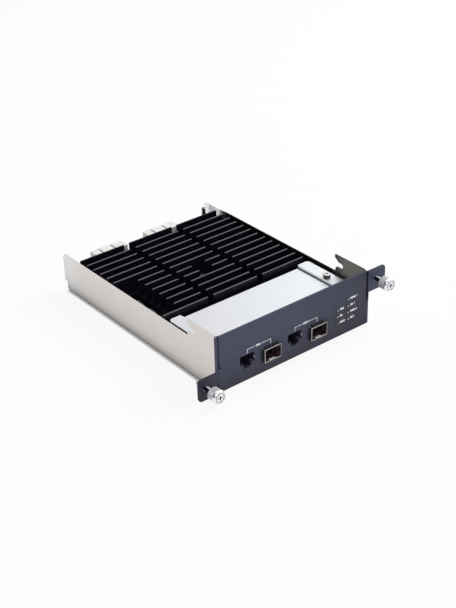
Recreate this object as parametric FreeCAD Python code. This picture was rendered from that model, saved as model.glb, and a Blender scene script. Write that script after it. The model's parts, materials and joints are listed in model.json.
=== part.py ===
import FreeCAD, Part
import math
import os

# Plug-in network adapter module: a folded tray carries a circuit board, a finned
# heatsink, two port pairs behind a front panel, and two captive thumbscrews.
# All sizes are in millimetres. While it is built, X runs across the front, Y runs
# from the front panel's face to the rear, and Z runs up from the tray's underside.
# At the end everything is moved so that the origin is the middle of the tray's floor.

# Folded tray
TRAY_SHEET = 1.0
TRAY_BEND = 0.8
WALL_HEIGHT = 30.8
REAR_MARGIN = 18.4
REAR_CHAMFER = 2.6
REAR_STEP_DEPTH = 3.0
REAR_STEP_HEIGHT = 7.4
LIP_CLEARANCE = 0.6
LIP_INSET = 2.5

# Hooked front ends of the tray's walls
HOOK_REACH = 33.4
HOOK_TAB_HEIGHT = 4.0
HOOK_TAB_SETBACK = 0.7
HOOK_TAB_ROUND = 1.8
HOOK_SLOT_WIDTH = 4.2
HOOK_SLOT_DEPTH = 7.7
HOOK_FINGER = 5.4
HOOK_TIP = 2.5

# Front panel
PANEL_SHEET = 1.2
PANEL_FOOT = 1.0
PANEL_OVER = 0.4
PANEL_INSET = 0.2
PANEL_GAP = 0.2
SLIT_FOOT = 20.2
SLIT_WIDTH = 1.4
RELIEF_DIAMETER = 1.6
WINDOW_ROUND = 0.4

# Ear plates with the holes of the thumbscrews
EAR_SHEET = 1.2
EAR_BEND = 0.3
EAR_REACH = 17.0
EAR_HEIGHT = 17.2
EAR_ROUND = 3.0
EAR_INNER_ROUND = 0.75
EAR_FOOT = 0.5
EAR_DROP = 1.2
EAR_LEG = 10.0
EAR_LEG_HEIGHT = 8.0
EAR_LEG_DROP = 1.0
EAR_STRIP = 1.8
EAR_STRIP_DROP = 0.3
EAR_HOLE = 4.4
EAR_HOLE_LEFT = 10.0
EAR_HOLE_RIGHT = 8.5

# Captive thumbscrews, drawn out as far as their clips allow
KNOB_LENGTH = 8.0
KNOB_RIM_DIAMETER = 10.6
KNOB_RIM_LENGTH = 2.2
KNOB_GRIP_DIAMETER = 9.8
KNOB_GROOVE_DIAMETER = 8.8
KNOB_GROOVE_WIDTH = 0.6
KNOB_EDGE = 1.0
KNOB_FLUTES = 24
KNOB_FLUTE_WIDTH = 0.7
KNOB_FLUTE_DEPTH = 0.4
DRIVE_LENGTH = 3.6
DRIVE_WIDTH = 0.8
DRIVE_DEPTH = 1.4
SHANK_DIAMETER = 3.6
SHANK_SHOWN = 6.4
THREAD_DIAMETER = 4.0
THREAD_LENGTH = 8.0
THREAD_CHAMFER = 0.6
CLIP_DIAMETER = 7.0
CLIP_SHEET = 0.6
CLIP_GROOVE_DIAMETER = 3.0
CLIP_RUNNING_GAP = 0.04
CLIP_EAR_GAP = 0.2
CLIP_MOUTH = 2.6

# Circuit board and what it stands on
BOARD_WIDTH = 132.0
BOARD_SHEET = 1.6
BOARD_SIDE_GAP = 1.2
BOARD_FRONT_GAP = 1.0
BOARD_REAR_GAP = 2.7
BOARD_ROUND = 2.0
STANDOFF_HEIGHT = 7.0
STANDOFF_FLATS = 6.0
STANDOFF_INSET = 6.0
STANDOFF_FRONT = 14.0
STANDOFF_REAR = 8.0
SCREW_DIAMETER = 2.9
SCREW_HEAD_DIAMETER = 5.4
SCREW_HEAD_HEIGHT = 2.0
SCREW_CROWN = 0.7
SCREW_GRIP = 5.0
BORE_GAP = 0.1
SCREW_HOLE = 3.2
SCREW_CROSS_LENGTH = 3.0
SCREW_CROSS_WIDTH = 0.7
SCREW_CROSS_DEPTH = 1.0

# Copper port jacks and their contacts
PORT_PITCH = 42.4
PORT_COUNT = 2
JACK_INSET = 22.7
JACK_WIDTH = 15.8
JACK_HEIGHT = 12.8
JACK_DEPTH = 18.0
JACK_CAVITY_WIDTH = 12.0
JACK_CAVITY_DEPTH = 14.0
JACK_CAVITY_FOOT = 4.9
JACK_CAVITY_TOP = 11.3
JACK_LATCH_WIDTH = 6.2
JACK_LATCH_FOOT = 1.5
JACK_WINDOW_GAP = 0.35
CONTACT_COUNT = 8
CONTACT_PITCH = 1.02
CONTACT_WIDTH = 0.45
CONTACT_SHEET = 0.3
CONTACT_DROP = 1.8
CONTACT_FRONT = 3.0

# Pluggable transceiver cages with their sockets and spring collars
CAGE_OFFSET = 20.6
CAGE_WIDTH = 14.6
CAGE_HEIGHT = 10.2
CAGE_SHEET = 0.4
CAGE_PROUD = 2.6
CAGE_DEPTH = 45.0
CAGE_WINDOW_GAP = 0.6
CAGE_TONGUE_WIDTH = 4.4
CAGE_TONGUE_TIP = 2.6
CAGE_TONGUE_LENGTH = 1.3
SOCKET_WIDTH = 11.4
SOCKET_HEIGHT = 6.6
SOCKET_DEPTH = 9.0
SOCKET_REAR_GAP = 0.6
SOCKET_SLOT_WIDTH = 9.6
SOCKET_SLOT_HEIGHT = 1.8
SOCKET_SLOT_DEPTH = 6.0
BLADE_COUNT = 10
BLADE_PITCH = 0.8
BLADE_WIDTH = 0.4
BLADE_SHEET = 0.25
BLADE_SETBACK = 1.2
COLLAR_SHEET = 0.2
COLLAR_GAP = 0.05
COLLAR_BAND = 0.9
COLLAR_SETBACK = 0.5
FINGER_WIDTH = 2.4
FINGER_PITCH = 3.2
FINGER_HEIGHT = 0.25

# Status lights in two stacks
LIGHT_DIAMETER = 2.8
LIGHT_GAP = 0.1
LIGHT_PROUD = 0.5
LIGHT_EDGE = 0.4
LIGHT_DEPTH = 4.0
LIGHT_PITCH = 5.35
LIGHT_FOOT = 2.65
LIGHT_OFFSET = 19.3
LIGHT_COLUMN_PITCH = 10.0
LIGHT_LEFT_COUNT = 3
LIGHT_RIGHT_COUNT = 4
HOLDER_WIDTH = 6.0
HOLDER_DEPTH = 8.0
HOLDER_OVER = 2.6

# Cover over the port area
COVER_SHEET = 0.8
COVER_BEND = 0.6
COVER_LEVEL = 27.5
COVER_STEP = 2.0
COVER_STRIP = 9.9
COVER_INSET = 1.8
COVER_FRONT = 12.0
COVER_REAR = 59.4
COVER_SETBACK = 1.4
COVER_ROUND = 2.5
COVER_SLOPE = 1.6
POST_INSET = 6.2
POST_Y = 32.0
POST_FLATS = 5.5
POST_BORE = 8.0
HEX_HEAD_FLATS = 5.2
HEX_HEAD_HEIGHT = 2.8
HEX_CROWN = 0.5

# Finned heatsink
HEATSINK_INSET = 1.4
HEATSINK_GAP = 5.8
HEATSINK_LENGTH = 105.9
BASE_SHEET = 3.5
FIN_HEIGHT = 13.3
FIN_SHEET = 1.5
FIN_ROWS = 13
CHANNEL_WIDTH = 5.2
CHANNEL_X = 22.7
NOTCH_WIDTH = 16.1
NOTCH_FIRST_ROW = 1
NOTCH_LAST_ROW = 6
WELL_DIAMETER = 15.3
WELL_ROW = 4.5

# Chips, pads and what clamps the heatsink on them
CHIP_WIDTH = 25.0
CHIP_HEIGHT = 2.6
CHIP_INSET = 31.6
CHIP_EDGE = 0.8
PAD_SHEET = 1.0
PAD_INSET = 1.0
SPRING_DIAMETER = 5.2
SPRING_SHEET = 0.5
SPRING_HEIGHT = 1.4
NUT_FLATS = 5.5
NUT_HEIGHT = 2.6
SPACER_FLATS = 6.0
SPACER_FRONT_INSET = 24.6
SPACER_REAR_INSET = 8.6
SPACER_Y_INSET = 7.0
SPACER_THREAD = 2.4

# Parts on the board behind the jacks and in the heatsink's notch
MAGNETIC_WIDTH = 15.0
MAGNETIC_DEPTH = 11.0
MAGNETIC_HEIGHT = 6.0
MAGNETIC_GAP = 6.0
MAGNETIC_LEAD = 1.0
INDUCTOR_WIDTH = 10.0
INDUCTOR_HEIGHT = 6.0
INDUCTOR_EDGE = 1.2
INDUCTOR_COUNT = 3
INDUCTOR_PITCH = 15.0
CAPACITOR_DIAMETER = 6.3
CAPACITOR_HEIGHT = 7.7
CAPACITOR_BASE = 6.6
CAPACITOR_BASE_HEIGHT = 1.3
CAPACITOR_X = 8.0
CAPACITOR_GAP = 4.0

# Rear connectors and guide post
CONNECTOR_X = -4.7
CONNECTOR_PITCH = 49.5
CONNECTOR_BLOCKS = (6.6, 10.0, 10.0)
CONNECTOR_NOTCH = 0.9
CONNECTOR_NOTCH_DEPTH = 3.4
CONNECTOR_HEIGHT = 13.6
CONNECTOR_DEPTH = 9.5
CONNECTOR_SEAT = 6.5
CELL_ROWS = 4
CELL_WIDTH = 1.5
CELL_HEIGHT = 1.3
CELL_PITCH = 2.5
CELL_DEPTH = 4.5
CELL_FOOT = 1.8
GUIDE_DIAMETER = 3.2
GUIDE_FLANGE_DIAMETER = 5.2
GUIDE_FLANGE = 1.2
GUIDE_HEIGHT = 18.4
GUIDE_INSET = 3.3
GUIDE_REAR = 2.6
GUIDE_EDGE = 0.5

# Places that follow from the sizes above
BOARD_FOOT = TRAY_SHEET + STANDOFF_HEIGHT
BOARD_TOP = BOARD_FOOT + BOARD_SHEET
INNER_HALF = BOARD_WIDTH / 2 + BOARD_SIDE_GAP
JACK_X = JACK_INSET - BOARD_WIDTH / 2
LIGHT_LEFT_X = JACK_X + (PORT_COUNT - 1) * PORT_PITCH + CAGE_OFFSET + LIGHT_OFFSET
LIGHT_RIGHT_X = LIGHT_LEFT_X + LIGHT_COLUMN_PITCH
OUTER_HALF = INNER_HALF + TRAY_SHEET
TRAY_FRONT = max(PANEL_SHEET, EAR_SHEET)
WALL_FRONT = TRAY_FRONT + TRAY_SHEET + TRAY_BEND
PANEL_BACK = TRAY_FRONT - PANEL_SHEET
SLOT_FOOT_Z = WALL_HEIGHT + HOOK_TAB_HEIGHT
SLOT_TOP_Z = SLOT_FOOT_Z + HOOK_SLOT_WIDTH
RAISED_TOP = SLOT_TOP_Z + HOOK_FINGER
PANEL_HEIGHT = RAISED_TOP + PANEL_OVER
PANEL_LEFT = -OUTER_HALF + PANEL_INSET
PANEL_RIGHT = OUTER_HALF + EAR_SHEET - PANEL_INSET
UPPER_HALF = OUTER_HALF - SLIT_WIDTH
EAR_OUTER = OUTER_HALF + EAR_REACH
LEFT_EAR_X = -OUTER_HALF - EAR_HOLE_LEFT
RIGHT_EAR_X = OUTER_HALF + EAR_HOLE_RIGHT
EAR_TOP = PANEL_HEIGHT - EAR_DROP
LEFT_EAR_Z = EAR_FOOT + EAR_HEIGHT / 2
RIGHT_EAR_Z = EAR_TOP - EAR_HEIGHT / 2
HEATSINK_HALF = BOARD_WIDTH / 2 - HEATSINK_INSET
HEATSINK_FRONT = COVER_REAR + HEATSINK_GAP
FIN_PITCH = (HEATSINK_LENGTH - FIN_SHEET) / (FIN_ROWS - 1)
HEATSINK_REAR = HEATSINK_FRONT + HEATSINK_LENGTH
HEATSINK_FOOT = BOARD_TOP + CHIP_HEIGHT + PAD_SHEET
BASE_TOP = HEATSINK_FOOT + BASE_SHEET
FIN_TOP = BASE_TOP + FIN_HEIGHT
WELL_Y = HEATSINK_FRONT + FIN_SHEET / 2 + WELL_ROW * FIN_PITCH
TRAY_REAR = HEATSINK_REAR + REAR_MARGIN
BOARD_FRONT = TRAY_FRONT + TRAY_SHEET + BOARD_FRONT_GAP
BOARD_REAR = TRAY_REAR - BOARD_REAR_GAP
COVER_HALF = BOARD_WIDTH / 2 - COVER_INSET
STRIP_TOP = COVER_LEVEL + COVER_STEP
STRIP_FOOT = STRIP_TOP - COVER_SHEET
POST_X = COVER_HALF - POST_INSET
ORIGIN_Y = (TRAY_FRONT + TRAY_REAR) / 2
STANDOFF_X = BOARD_WIDTH / 2 - STANDOFF_INSET
STANDOFF_LAST = BOARD_REAR - STANDOFF_REAR
SCREW_PLACES = [
    (side * STANDOFF_X, y)
    for y in (STANDOFF_FRONT, STANDOFF_LAST)
    for side in (-1, 1)
]
POST_PLACES = [(-POST_X, POST_Y), (POST_X, POST_Y)]
SPACER_PLACES = [
    (side * (HEATSINK_HALF - inset), y)
    for inset, y in (
        (SPACER_FRONT_INSET, HEATSINK_FRONT + SPACER_Y_INSET),
        (SPACER_REAR_INSET, HEATSINK_REAR - SPACER_Y_INSET),
    )
    for side in (-1, 1)
]
BORE_DIAMETER = SCREW_DIAMETER + BORE_GAP

V = FreeCAD.Vector


def box(x0, x1, y0, y1, z0, z1):
    """Block between two corners."""
    return Part.makeBox(x1 - x0, y1 - y0, z1 - z0, V(x0, y0, z0))


def rod(x, y, z0, z1, diameter):
    """Upright cylinder."""
    return Part.makeCylinder(diameter / 2, z1 - z0, V(x, y, z0), V(0, 0, 1))


def rod_y(x, z, y0, y1, diameter):
    """Cylinder that runs from front to rear."""
    return Part.makeCylinder(diameter / 2, y1 - y0, V(x, y0, z), V(0, 1, 0))


def hexagon_radius(flats):
    """Distance from a hexagon's middle to its corners."""
    return flats / 2 / math.cos(math.radians(30))


def hexagon(x, y, z0, z1, flats):
    """Upright six-sided prism of a given width across its flats."""
    radius = hexagon_radius(flats)
    angles = [math.radians(60 * step) for step in range(6)]
    points = [V(x + radius * math.cos(a), y + radius * math.sin(a), z0) for a in angles]
    return Part.Face(Part.makePolygon(points + points[:1])).extrude(V(0, 0, z1 - z0))


def rounded_wire(corners, place):
    """Closed wire through (u, v, radius) corners, each rounded by a tangent arc."""
    entries = []
    count = len(corners)
    for index, (u, v, radius) in enumerate(corners):
        here = V(u, v, 0)
        before = V(*corners[index - 1][:2], 0) - here
        after = V(*corners[(index + 1) % count][:2], 0) - here
        before.normalize()
        after.normalize()
        half = before.getAngle(after) / 2
        if radius < 1e-6 or abs(half - math.pi / 2) < 1e-6:
            entries.append((here, None, here))
            continue
        reach = radius / math.tan(half)
        inward = before + after
        inward.normalize()
        middle = here + inward * (radius / math.sin(half) - radius)
        entries.append((here + before * reach, middle, here + after * reach))
    edges = []
    for index, (start, middle, end) in enumerate(entries):
        last_end = entries[index - 1][2]
        if (start - last_end).Length > 1e-6:
            edges.append(Part.makeLine(place(last_end.x, last_end.y), place(start.x, start.y)))
        if middle is not None:
            points = [place(p.x, p.y) for p in (start, middle, end)]
            edges.append(Part.Arc(*points).toShape())
    return Part.Wire(Part.__sortEdges__(edges))


def prism_x(corners, x0, x1):
    """Outline of (y, z, radius) corners, drawn out across the part."""
    face = Part.Face(rounded_wire(corners, lambda y, z: V(x0, y, z)))
    return face.extrude(V(x1 - x0, 0, 0))


def prism_y(corners, y0, y1):
    """Outline of (x, z, radius) corners, drawn out from front to rear."""
    face = Part.Face(rounded_wire(corners, lambda x, z: V(x, y0, z)))
    return face.extrude(V(0, y1 - y0, 0))


def prism_z(corners, z0, z1):
    """Outline of (x, y, radius) corners, drawn upwards."""
    face = Part.Face(rounded_wire(corners, lambda x, y: V(x, y, z0)))
    return face.extrude(V(0, 0, z1 - z0))


def rectangle(u0, u1, v0, v1, radius=0.0):
    """Corners of an upright rectangle with one radius."""
    return [(u0, v0, radius), (u1, v0, radius), (u1, v1, radius), (u0, v1, radius)]


def sheet_section(path, sheet, bend):
    """Section of a folded sheet: the path is its face, and the metal lies to the left."""
    points = [V(u, v, 0) for u, v in path]
    steps = [b - a for a, b in zip(points, points[1:])]
    for step in steps:
        step.normalize()
    normals = [V(-step.y, step.x, 0) for step in steps]
    face = [(points[0].x, points[0].y, 0.0)]
    back = [(points[0] + normals[0] * sheet, 0.0)]
    for index in range(1, len(points) - 1):
        turn = steps[index - 1].x * steps[index].y - steps[index - 1].y * steps[index].x
        miter = normals[index - 1] + normals[index]
        miter.normalize()
        far = points[index] + miter * (sheet / miter.dot(normals[index]))
        outer, inner = (bend + sheet, bend) if turn > 0 else (bend, bend + sheet)
        face.append((points[index].x, points[index].y, outer))
        back.append((far, inner))
    face.append((points[-1].x, points[-1].y, 0.0))
    back.append((points[-1] + normals[-1] * sheet, 0.0))
    return face + [(p.x, p.y, radius) for p, radius in reversed(back)]


def revolve_y(profile, x, z):
    """Turned piece on a front-to-rear axis from (radius, y) points."""
    points = [V(x + radius, y, z) for radius, y in profile]
    face = Part.Face(Part.makePolygon(points + points[:1]))
    return face.revolve(V(x, 0, z), V(0, 1, 0), 360)


def revolve_z(profile, x, y):
    """Turned piece on an upright axis from (radius, z) points."""
    points = [V(x + radius, y, z) for radius, z in profile]
    face = Part.Face(Part.makePolygon(points + points[:1]))
    return face.revolve(V(x, y, 0), V(0, 0, 1), 360)


def spread(count, pitch):
    """Centred positions of a row of equal steps."""
    return [(index - (count - 1) / 2) * pitch for index in range(count)]


def cross_recess(x, y, top):
    """Cutter for the cross drive of an upright screw."""
    half_length = SCREW_CROSS_LENGTH / 2
    half_width = SCREW_CROSS_WIDTH / 2
    foot = top - SCREW_CROSS_DEPTH
    first = box(x - half_length, x + half_length, y - half_width, y + half_width, foot, top)
    second = box(x - half_width, x + half_width, y - half_length, y + half_length, foot, top)
    return first.fuse(second)


def wall_outline():
    """Side view of the tray's walls: hooked raised front, low top edge, stepped rear."""
    half_slot = HOOK_SLOT_WIDTH / 2
    slot_front = HOOK_REACH - HOOK_SLOT_DEPTH - HOOK_TAB_SETBACK
    tab_tip = HOOK_REACH - HOOK_TAB_SETBACK
    tip_foot = RAISED_TOP - HOOK_TIP
    return [
        (WALL_FRONT, 0.0, 0.0),
        (TRAY_REAR - REAR_STEP_DEPTH, 0.0, 0.0),
        (TRAY_REAR - REAR_STEP_DEPTH, REAR_STEP_HEIGHT, 0.0),
        (TRAY_REAR, REAR_STEP_HEIGHT, 0.0),
        (TRAY_REAR, WALL_HEIGHT - REAR_CHAMFER, 0.0),
        (TRAY_REAR - REAR_CHAMFER, WALL_HEIGHT, 0.0),
        (tab_tip, WALL_HEIGHT, 0.0),
        (tab_tip, SLOT_FOOT_Z, HOOK_TAB_ROUND),
        (slot_front, SLOT_FOOT_Z, half_slot),
        (slot_front, SLOT_TOP_Z, half_slot),
        (slot_front + HOOK_SLOT_WIDTH, SLOT_TOP_Z, half_slot),
        (HOOK_REACH, tip_foot, 0.0),
        (HOOK_REACH, RAISED_TOP, 0.0),
        (WALL_FRONT, RAISED_TOP, 0.0),
    ]


def tray():
    """One folded sheet: floor, two hooked walls and a low front lip."""
    path = [(-OUTER_HALF, RAISED_TOP), (-OUTER_HALF, 0), (OUTER_HALF, 0), (OUTER_HALF, RAISED_TOP)]
    channel = prism_y(sheet_section(path, TRAY_SHEET, TRAY_BEND), WALL_FRONT, TRAY_REAR)
    body = channel.common(prism_x(wall_outline(), -OUTER_HALF, OUTER_HALF))
    lip_half = INNER_HALF - LIP_INSET
    lip_path = [(TRAY_FRONT, BOARD_FOOT - LIP_CLEARANCE), (TRAY_FRONT, 0), (WALL_FRONT, 0)]
    lip = prism_x(sheet_section(lip_path, TRAY_SHEET, TRAY_BEND), -lip_half, lip_half)
    return body.fuse(lip).removeSplitter()


def jack_x(port):
    """Middle of a port's copper jack."""
    return JACK_X + port * PORT_PITCH


def cage_x(port):
    """Middle of a port's transceiver cage."""
    return jack_x(port) + CAGE_OFFSET


def jack_shape(x, grow):
    """T-shaped mouth of a jack with its latch slot below."""
    half = JACK_CAVITY_WIDTH / 2 + grow
    half_latch = JACK_LATCH_WIDTH / 2 + grow
    top = BOARD_TOP + JACK_CAVITY_TOP + grow
    foot = BOARD_TOP + JACK_CAVITY_FOOT - grow
    latch = BOARD_TOP + JACK_LATCH_FOOT - grow
    return [
        (x - half, top, 0.0),
        (x - half, foot, 0.0),
        (x - half_latch, foot, 0.0),
        (x - half_latch, latch, 0.0),
        (x + half_latch, latch, 0.0),
        (x + half_latch, foot, 0.0),
        (x + half, foot, 0.0),
        (x + half, top, 0.0),
    ]


def light_places():
    """Middle of each status light, left stack first, from the top down."""
    places = []
    for x, count in ((LIGHT_LEFT_X, LIGHT_LEFT_COUNT), (LIGHT_RIGHT_X, LIGHT_RIGHT_COUNT)):
        for row in reversed(range(count)):
            places.append((x, BOARD_TOP + LIGHT_FOOT + row * LIGHT_PITCH))
    return places


def front_panel():
    """Flat panel with side slits, port windows and light holes."""
    outline = [
        (PANEL_LEFT, PANEL_FOOT, 0.0),
        (PANEL_RIGHT, PANEL_FOOT, 0.0),
        (PANEL_RIGHT, SLIT_FOOT, 0.0),
        (UPPER_HALF, SLIT_FOOT, 0.0),
        (UPPER_HALF, PANEL_HEIGHT, 0.0),
        (-UPPER_HALF, PANEL_HEIGHT, 0.0),
        (-UPPER_HALF, SLIT_FOOT, 0.0),
        (PANEL_LEFT, SLIT_FOOT, 0.0),
    ]
    panel = prism_y(outline, PANEL_BACK, TRAY_FRONT)
    cutters = []
    for side in (-1, 1):
        cutters.append(rod_y(side * UPPER_HALF, SLIT_FOOT, PANEL_BACK, TRAY_FRONT, RELIEF_DIAMETER))
    for port in range(PORT_COUNT):
        cutters.append(prism_y(jack_shape(jack_x(port), JACK_WINDOW_GAP), PANEL_BACK, TRAY_FRONT))
        half = CAGE_WIDTH / 2 + CAGE_WINDOW_GAP
        foot = BOARD_TOP - CAGE_WINDOW_GAP
        top = BOARD_TOP + CAGE_HEIGHT + CAGE_WINDOW_GAP
        window = rectangle(cage_x(port) - half, cage_x(port) + half, foot, top, WINDOW_ROUND)
        cutters.append(prism_y(window, PANEL_BACK, TRAY_FRONT))
    for x, z in light_places():
        cutters.append(rod_y(x, z, PANEL_BACK, TRAY_FRONT, LIGHT_DIAMETER + 2 * LIGHT_GAP))
    return panel.cut(cutters)


def ear_plate(side):
    """Angle plate: a leg on the outside of the tray's wall and an ear with a thumbscrew hole."""
    leg_face = OUTER_HALF
    back = TRAY_FRONT - EAR_SHEET
    leg_end = TRAY_FRONT + EAR_LEG
    if side > 0:
        hole_x = RIGHT_EAR_X
        hole_z = RIGHT_EAR_Z
        leg_foot = SLIT_FOOT + PANEL_GAP
        leg_top = EAR_TOP - EAR_LEG_DROP
        ear_foot = EAR_TOP - EAR_HEIGHT
        outline = [
            (leg_face, leg_foot, 0.0),
            (leg_face + EAR_SHEET, leg_foot, 0.0),
            (leg_face + EAR_SHEET, ear_foot, 0.0),
            (EAR_OUTER, ear_foot, EAR_ROUND),
            (EAR_OUTER, EAR_TOP, EAR_ROUND),
            (leg_face, EAR_TOP, 0.0),
        ]
    else:
        hole_x = -LEFT_EAR_X
        hole_z = LEFT_EAR_Z
        leg_foot = EAR_FOOT
        leg_top = EAR_FOOT + EAR_LEG_HEIGHT
        ear_top = EAR_FOOT + EAR_HEIGHT
        strip_top = PANEL_HEIGHT - EAR_STRIP_DROP
        outline = [
            (leg_face, EAR_FOOT, 0.0),
            (EAR_OUTER, EAR_FOOT, EAR_ROUND),
            (EAR_OUTER, ear_top, EAR_ROUND),
            (leg_face + EAR_STRIP, ear_top, EAR_INNER_ROUND),
            (leg_face + EAR_STRIP, strip_top, EAR_INNER_ROUND),
            (leg_face, strip_top, 0.0),
        ]
    path = [(leg_face, leg_end), (leg_face, back), (EAR_OUTER, back)]
    folded = prism_z(sheet_section(path, EAR_SHEET, EAR_BEND), leg_foot, leg_top)
    folded = folded.common(prism_y(outline, back, leg_end))
    bend_end = leg_face + EAR_SHEET + EAR_BEND
    flat = prism_y(outline, back, TRAY_FRONT)
    flat = flat.cut(box(leg_face, bend_end, back, TRAY_FRONT, leg_foot, leg_top))
    plate = folded.fuse(flat).removeSplitter()
    plate = plate.cut(rod_y(hole_x, hole_z, back, TRAY_FRONT, EAR_HOLE))
    if side < 0:
        plate = plate.mirror(V(0, 0, 0), V(1, 0, 0))
    return plate


def ear_front():
    """Front face of the ears."""
    return TRAY_FRONT - EAR_SHEET


def fluted_outline(x, z):
    """Section of the knob's grip: flat lands with V-shaped flutes between them."""
    grip = KNOB_GRIP_DIAMETER / 2
    half_flute = KNOB_FLUTE_WIDTH / 2 / grip
    corners = []
    for step in range(KNOB_FLUTES):
        middle = 2 * math.pi * step / KNOB_FLUTES
        for turn, radius in ((-half_flute, grip), (0, grip - KNOB_FLUTE_DEPTH), (half_flute, grip)):
            angle = middle + turn
            corners.append((x + radius * math.cos(angle), z + radius * math.sin(angle), 0.0))
    return corners


def thumbscrew(x, z):
    """Turned captive screw with a fluted knob, a plain shank and a threaded end."""
    rear = ear_front() - SHANK_SHOWN
    front = rear - KNOB_LENGTH
    rim_end = front + KNOB_RIM_LENGTH
    grip_start = rim_end + KNOB_GROOVE_WIDTH
    clip_start = TRAY_FRONT + CLIP_EAR_GAP - CLIP_RUNNING_GAP
    clip_end = clip_start + CLIP_SHEET + 2 * CLIP_RUNNING_GAP
    tip = clip_end + THREAD_LENGTH
    rim = KNOB_RIM_DIAMETER / 2
    groove = KNOB_GROOVE_DIAMETER / 2
    shank = SHANK_DIAMETER / 2
    thread = THREAD_DIAMETER / 2
    profile = [
        (0, front),
        (rim - KNOB_EDGE, front),
        (rim, front + KNOB_EDGE),
        (rim, rim_end),
        (groove, rim_end),
        (groove, grip_start),
        (shank, grip_start),
        (shank, clip_start),
        (CLIP_GROOVE_DIAMETER / 2, clip_start),
        (CLIP_GROOVE_DIAMETER / 2, clip_end),
        (thread, clip_end),
        (thread, tip - THREAD_CHAMFER),
        (thread - THREAD_CHAMFER, tip),
        (0, tip),
    ]
    screw = revolve_y(profile, x, z).fuse(prism_y(fluted_outline(x, z), grip_start, rear))
    half_length = DRIVE_LENGTH / 2
    half_width = DRIVE_WIDTH / 2
    bottom = front + DRIVE_DEPTH
    across = box(x - half_length, x + half_length, front, bottom, z - half_width, z + half_width)
    upright = box(x - half_width, x + half_width, front, bottom, z - half_length, z + half_length)
    return screw.cut([across, upright])


def retaining_clip(x, z):
    """Open ring in the groove behind the ear, which keeps the screw captive."""
    start = TRAY_FRONT + CLIP_EAR_GAP
    end = start + CLIP_SHEET
    inner = CLIP_GROOVE_DIAMETER + 2 * CLIP_RUNNING_GAP
    ring = rod_y(x, z, start, end, CLIP_DIAMETER).cut(rod_y(x, z, start, end, inner))
    half = CLIP_MOUTH / 2
    return ring.cut(box(x - half, x + half, start, end, z - CLIP_DIAMETER, z))


def circuit_board():
    """Board with rounded corners and the holes of its screws."""
    half = BOARD_WIDTH / 2
    board = prism_z(rectangle(-half, half, BOARD_FRONT, BOARD_REAR, BOARD_ROUND), BOARD_FOOT, BOARD_TOP)
    places = SCREW_PLACES + POST_PLACES + SPACER_PLACES + [(0, WELL_Y)]
    return board.cut([rod(x, y, BOARD_FOOT, BOARD_TOP, SCREW_HOLE) for x, y in places])


def standoffs():
    """Threaded hexagonal standoffs on the tray's floor."""
    pieces = []
    for x, y in SCREW_PLACES + POST_PLACES:
        piece = hexagon(x, y, TRAY_SHEET, BOARD_FOOT, STANDOFF_FLATS)
        pieces.append(piece.cut(rod(x, y, TRAY_SHEET, BOARD_FOOT, BORE_DIAMETER)))
    return Part.makeCompound(pieces)


def plain_screw(x, y, seat, head_end, tip):
    """Upright screw with a flat round head on one side of its seat and a shank on the other."""
    radius = SCREW_HEAD_DIAMETER / 2
    shank = SCREW_DIAMETER / 2
    profile = [(0, head_end), (radius, head_end), (radius, seat), (shank, seat), (shank, tip), (0, tip)]
    return revolve_z(profile, x, y)


def board_screws():
    """Screws that hold the board on its standoffs."""
    head = BOARD_TOP + SCREW_HEAD_HEIGHT
    tip = BOARD_TOP - SCREW_GRIP
    return Part.makeCompound([plain_screw(x, y, BOARD_TOP, head, tip) for x, y in SCREW_PLACES])


def cover_post(x, y):
    """Hexagonal post with a stud below and a threaded bore above."""
    post = hexagon(x, y, BOARD_TOP, STRIP_FOOT, POST_FLATS)
    stud = rod(x, y, BOARD_TOP - SCREW_GRIP, BOARD_TOP, SCREW_DIAMETER)
    return post.fuse(stud).cut(rod(x, y, STRIP_FOOT - POST_BORE, STRIP_FOOT, BORE_DIAMETER))


def cover_screws():
    """Hexagon-head screws on the cover's side strips."""
    pieces = []
    for x, y in POST_PLACES:
        top = STRIP_TOP + HEX_HEAD_HEIGHT
        radius = hexagon_radius(HEX_HEAD_FLATS)
        head = hexagon(x, y, STRIP_TOP, top, HEX_HEAD_FLATS)
        turned = revolve_z([(0, STRIP_TOP), (radius, STRIP_TOP), (radius, top - HEX_CROWN),
                            (radius - 2 * HEX_CROWN, top), (0, top)], x, y)
        shank = rod(x, y, STRIP_TOP - SCREW_GRIP, STRIP_TOP, SCREW_DIAMETER)
        pieces.append(head.common(turned).fuse(shank).cut(cross_recess(x, y, top)))
    return Part.makeCompound(pieces)


def cover_plate():
    """Folded cover: a low middle between two raised side strips."""
    middle = COVER_HALF - COVER_STRIP
    slope_end = middle - COVER_SLOPE
    path = [
        (-COVER_HALF, STRIP_FOOT),
        (-middle, STRIP_FOOT),
        (-slope_end, COVER_LEVEL - COVER_SHEET),
        (slope_end, COVER_LEVEL - COVER_SHEET),
        (middle, STRIP_FOOT),
        (COVER_HALF, STRIP_FOOT),
    ]
    cover = prism_y(sheet_section(path, COVER_SHEET, COVER_BEND), COVER_FRONT, COVER_REAR)
    plan = [
        (-COVER_HALF, COVER_FRONT, 0.0),
        (COVER_HALF, COVER_FRONT, 0.0),
        (COVER_HALF, COVER_REAR, COVER_ROUND),
        (middle, COVER_REAR, 0.0),
        (middle, COVER_REAR - COVER_SETBACK, 0.0),
        (-middle, COVER_REAR - COVER_SETBACK, 0.0),
        (-middle, COVER_REAR, 0.0),
        (-COVER_HALF, COVER_REAR, COVER_ROUND),
    ]
    cover = cover.common(prism_z(plan, COVER_LEVEL - COVER_SHEET, STRIP_TOP))
    return cover.cut([rod(x, y, STRIP_FOOT, STRIP_TOP, SCREW_HOLE) for x, y in POST_PLACES])


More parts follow.
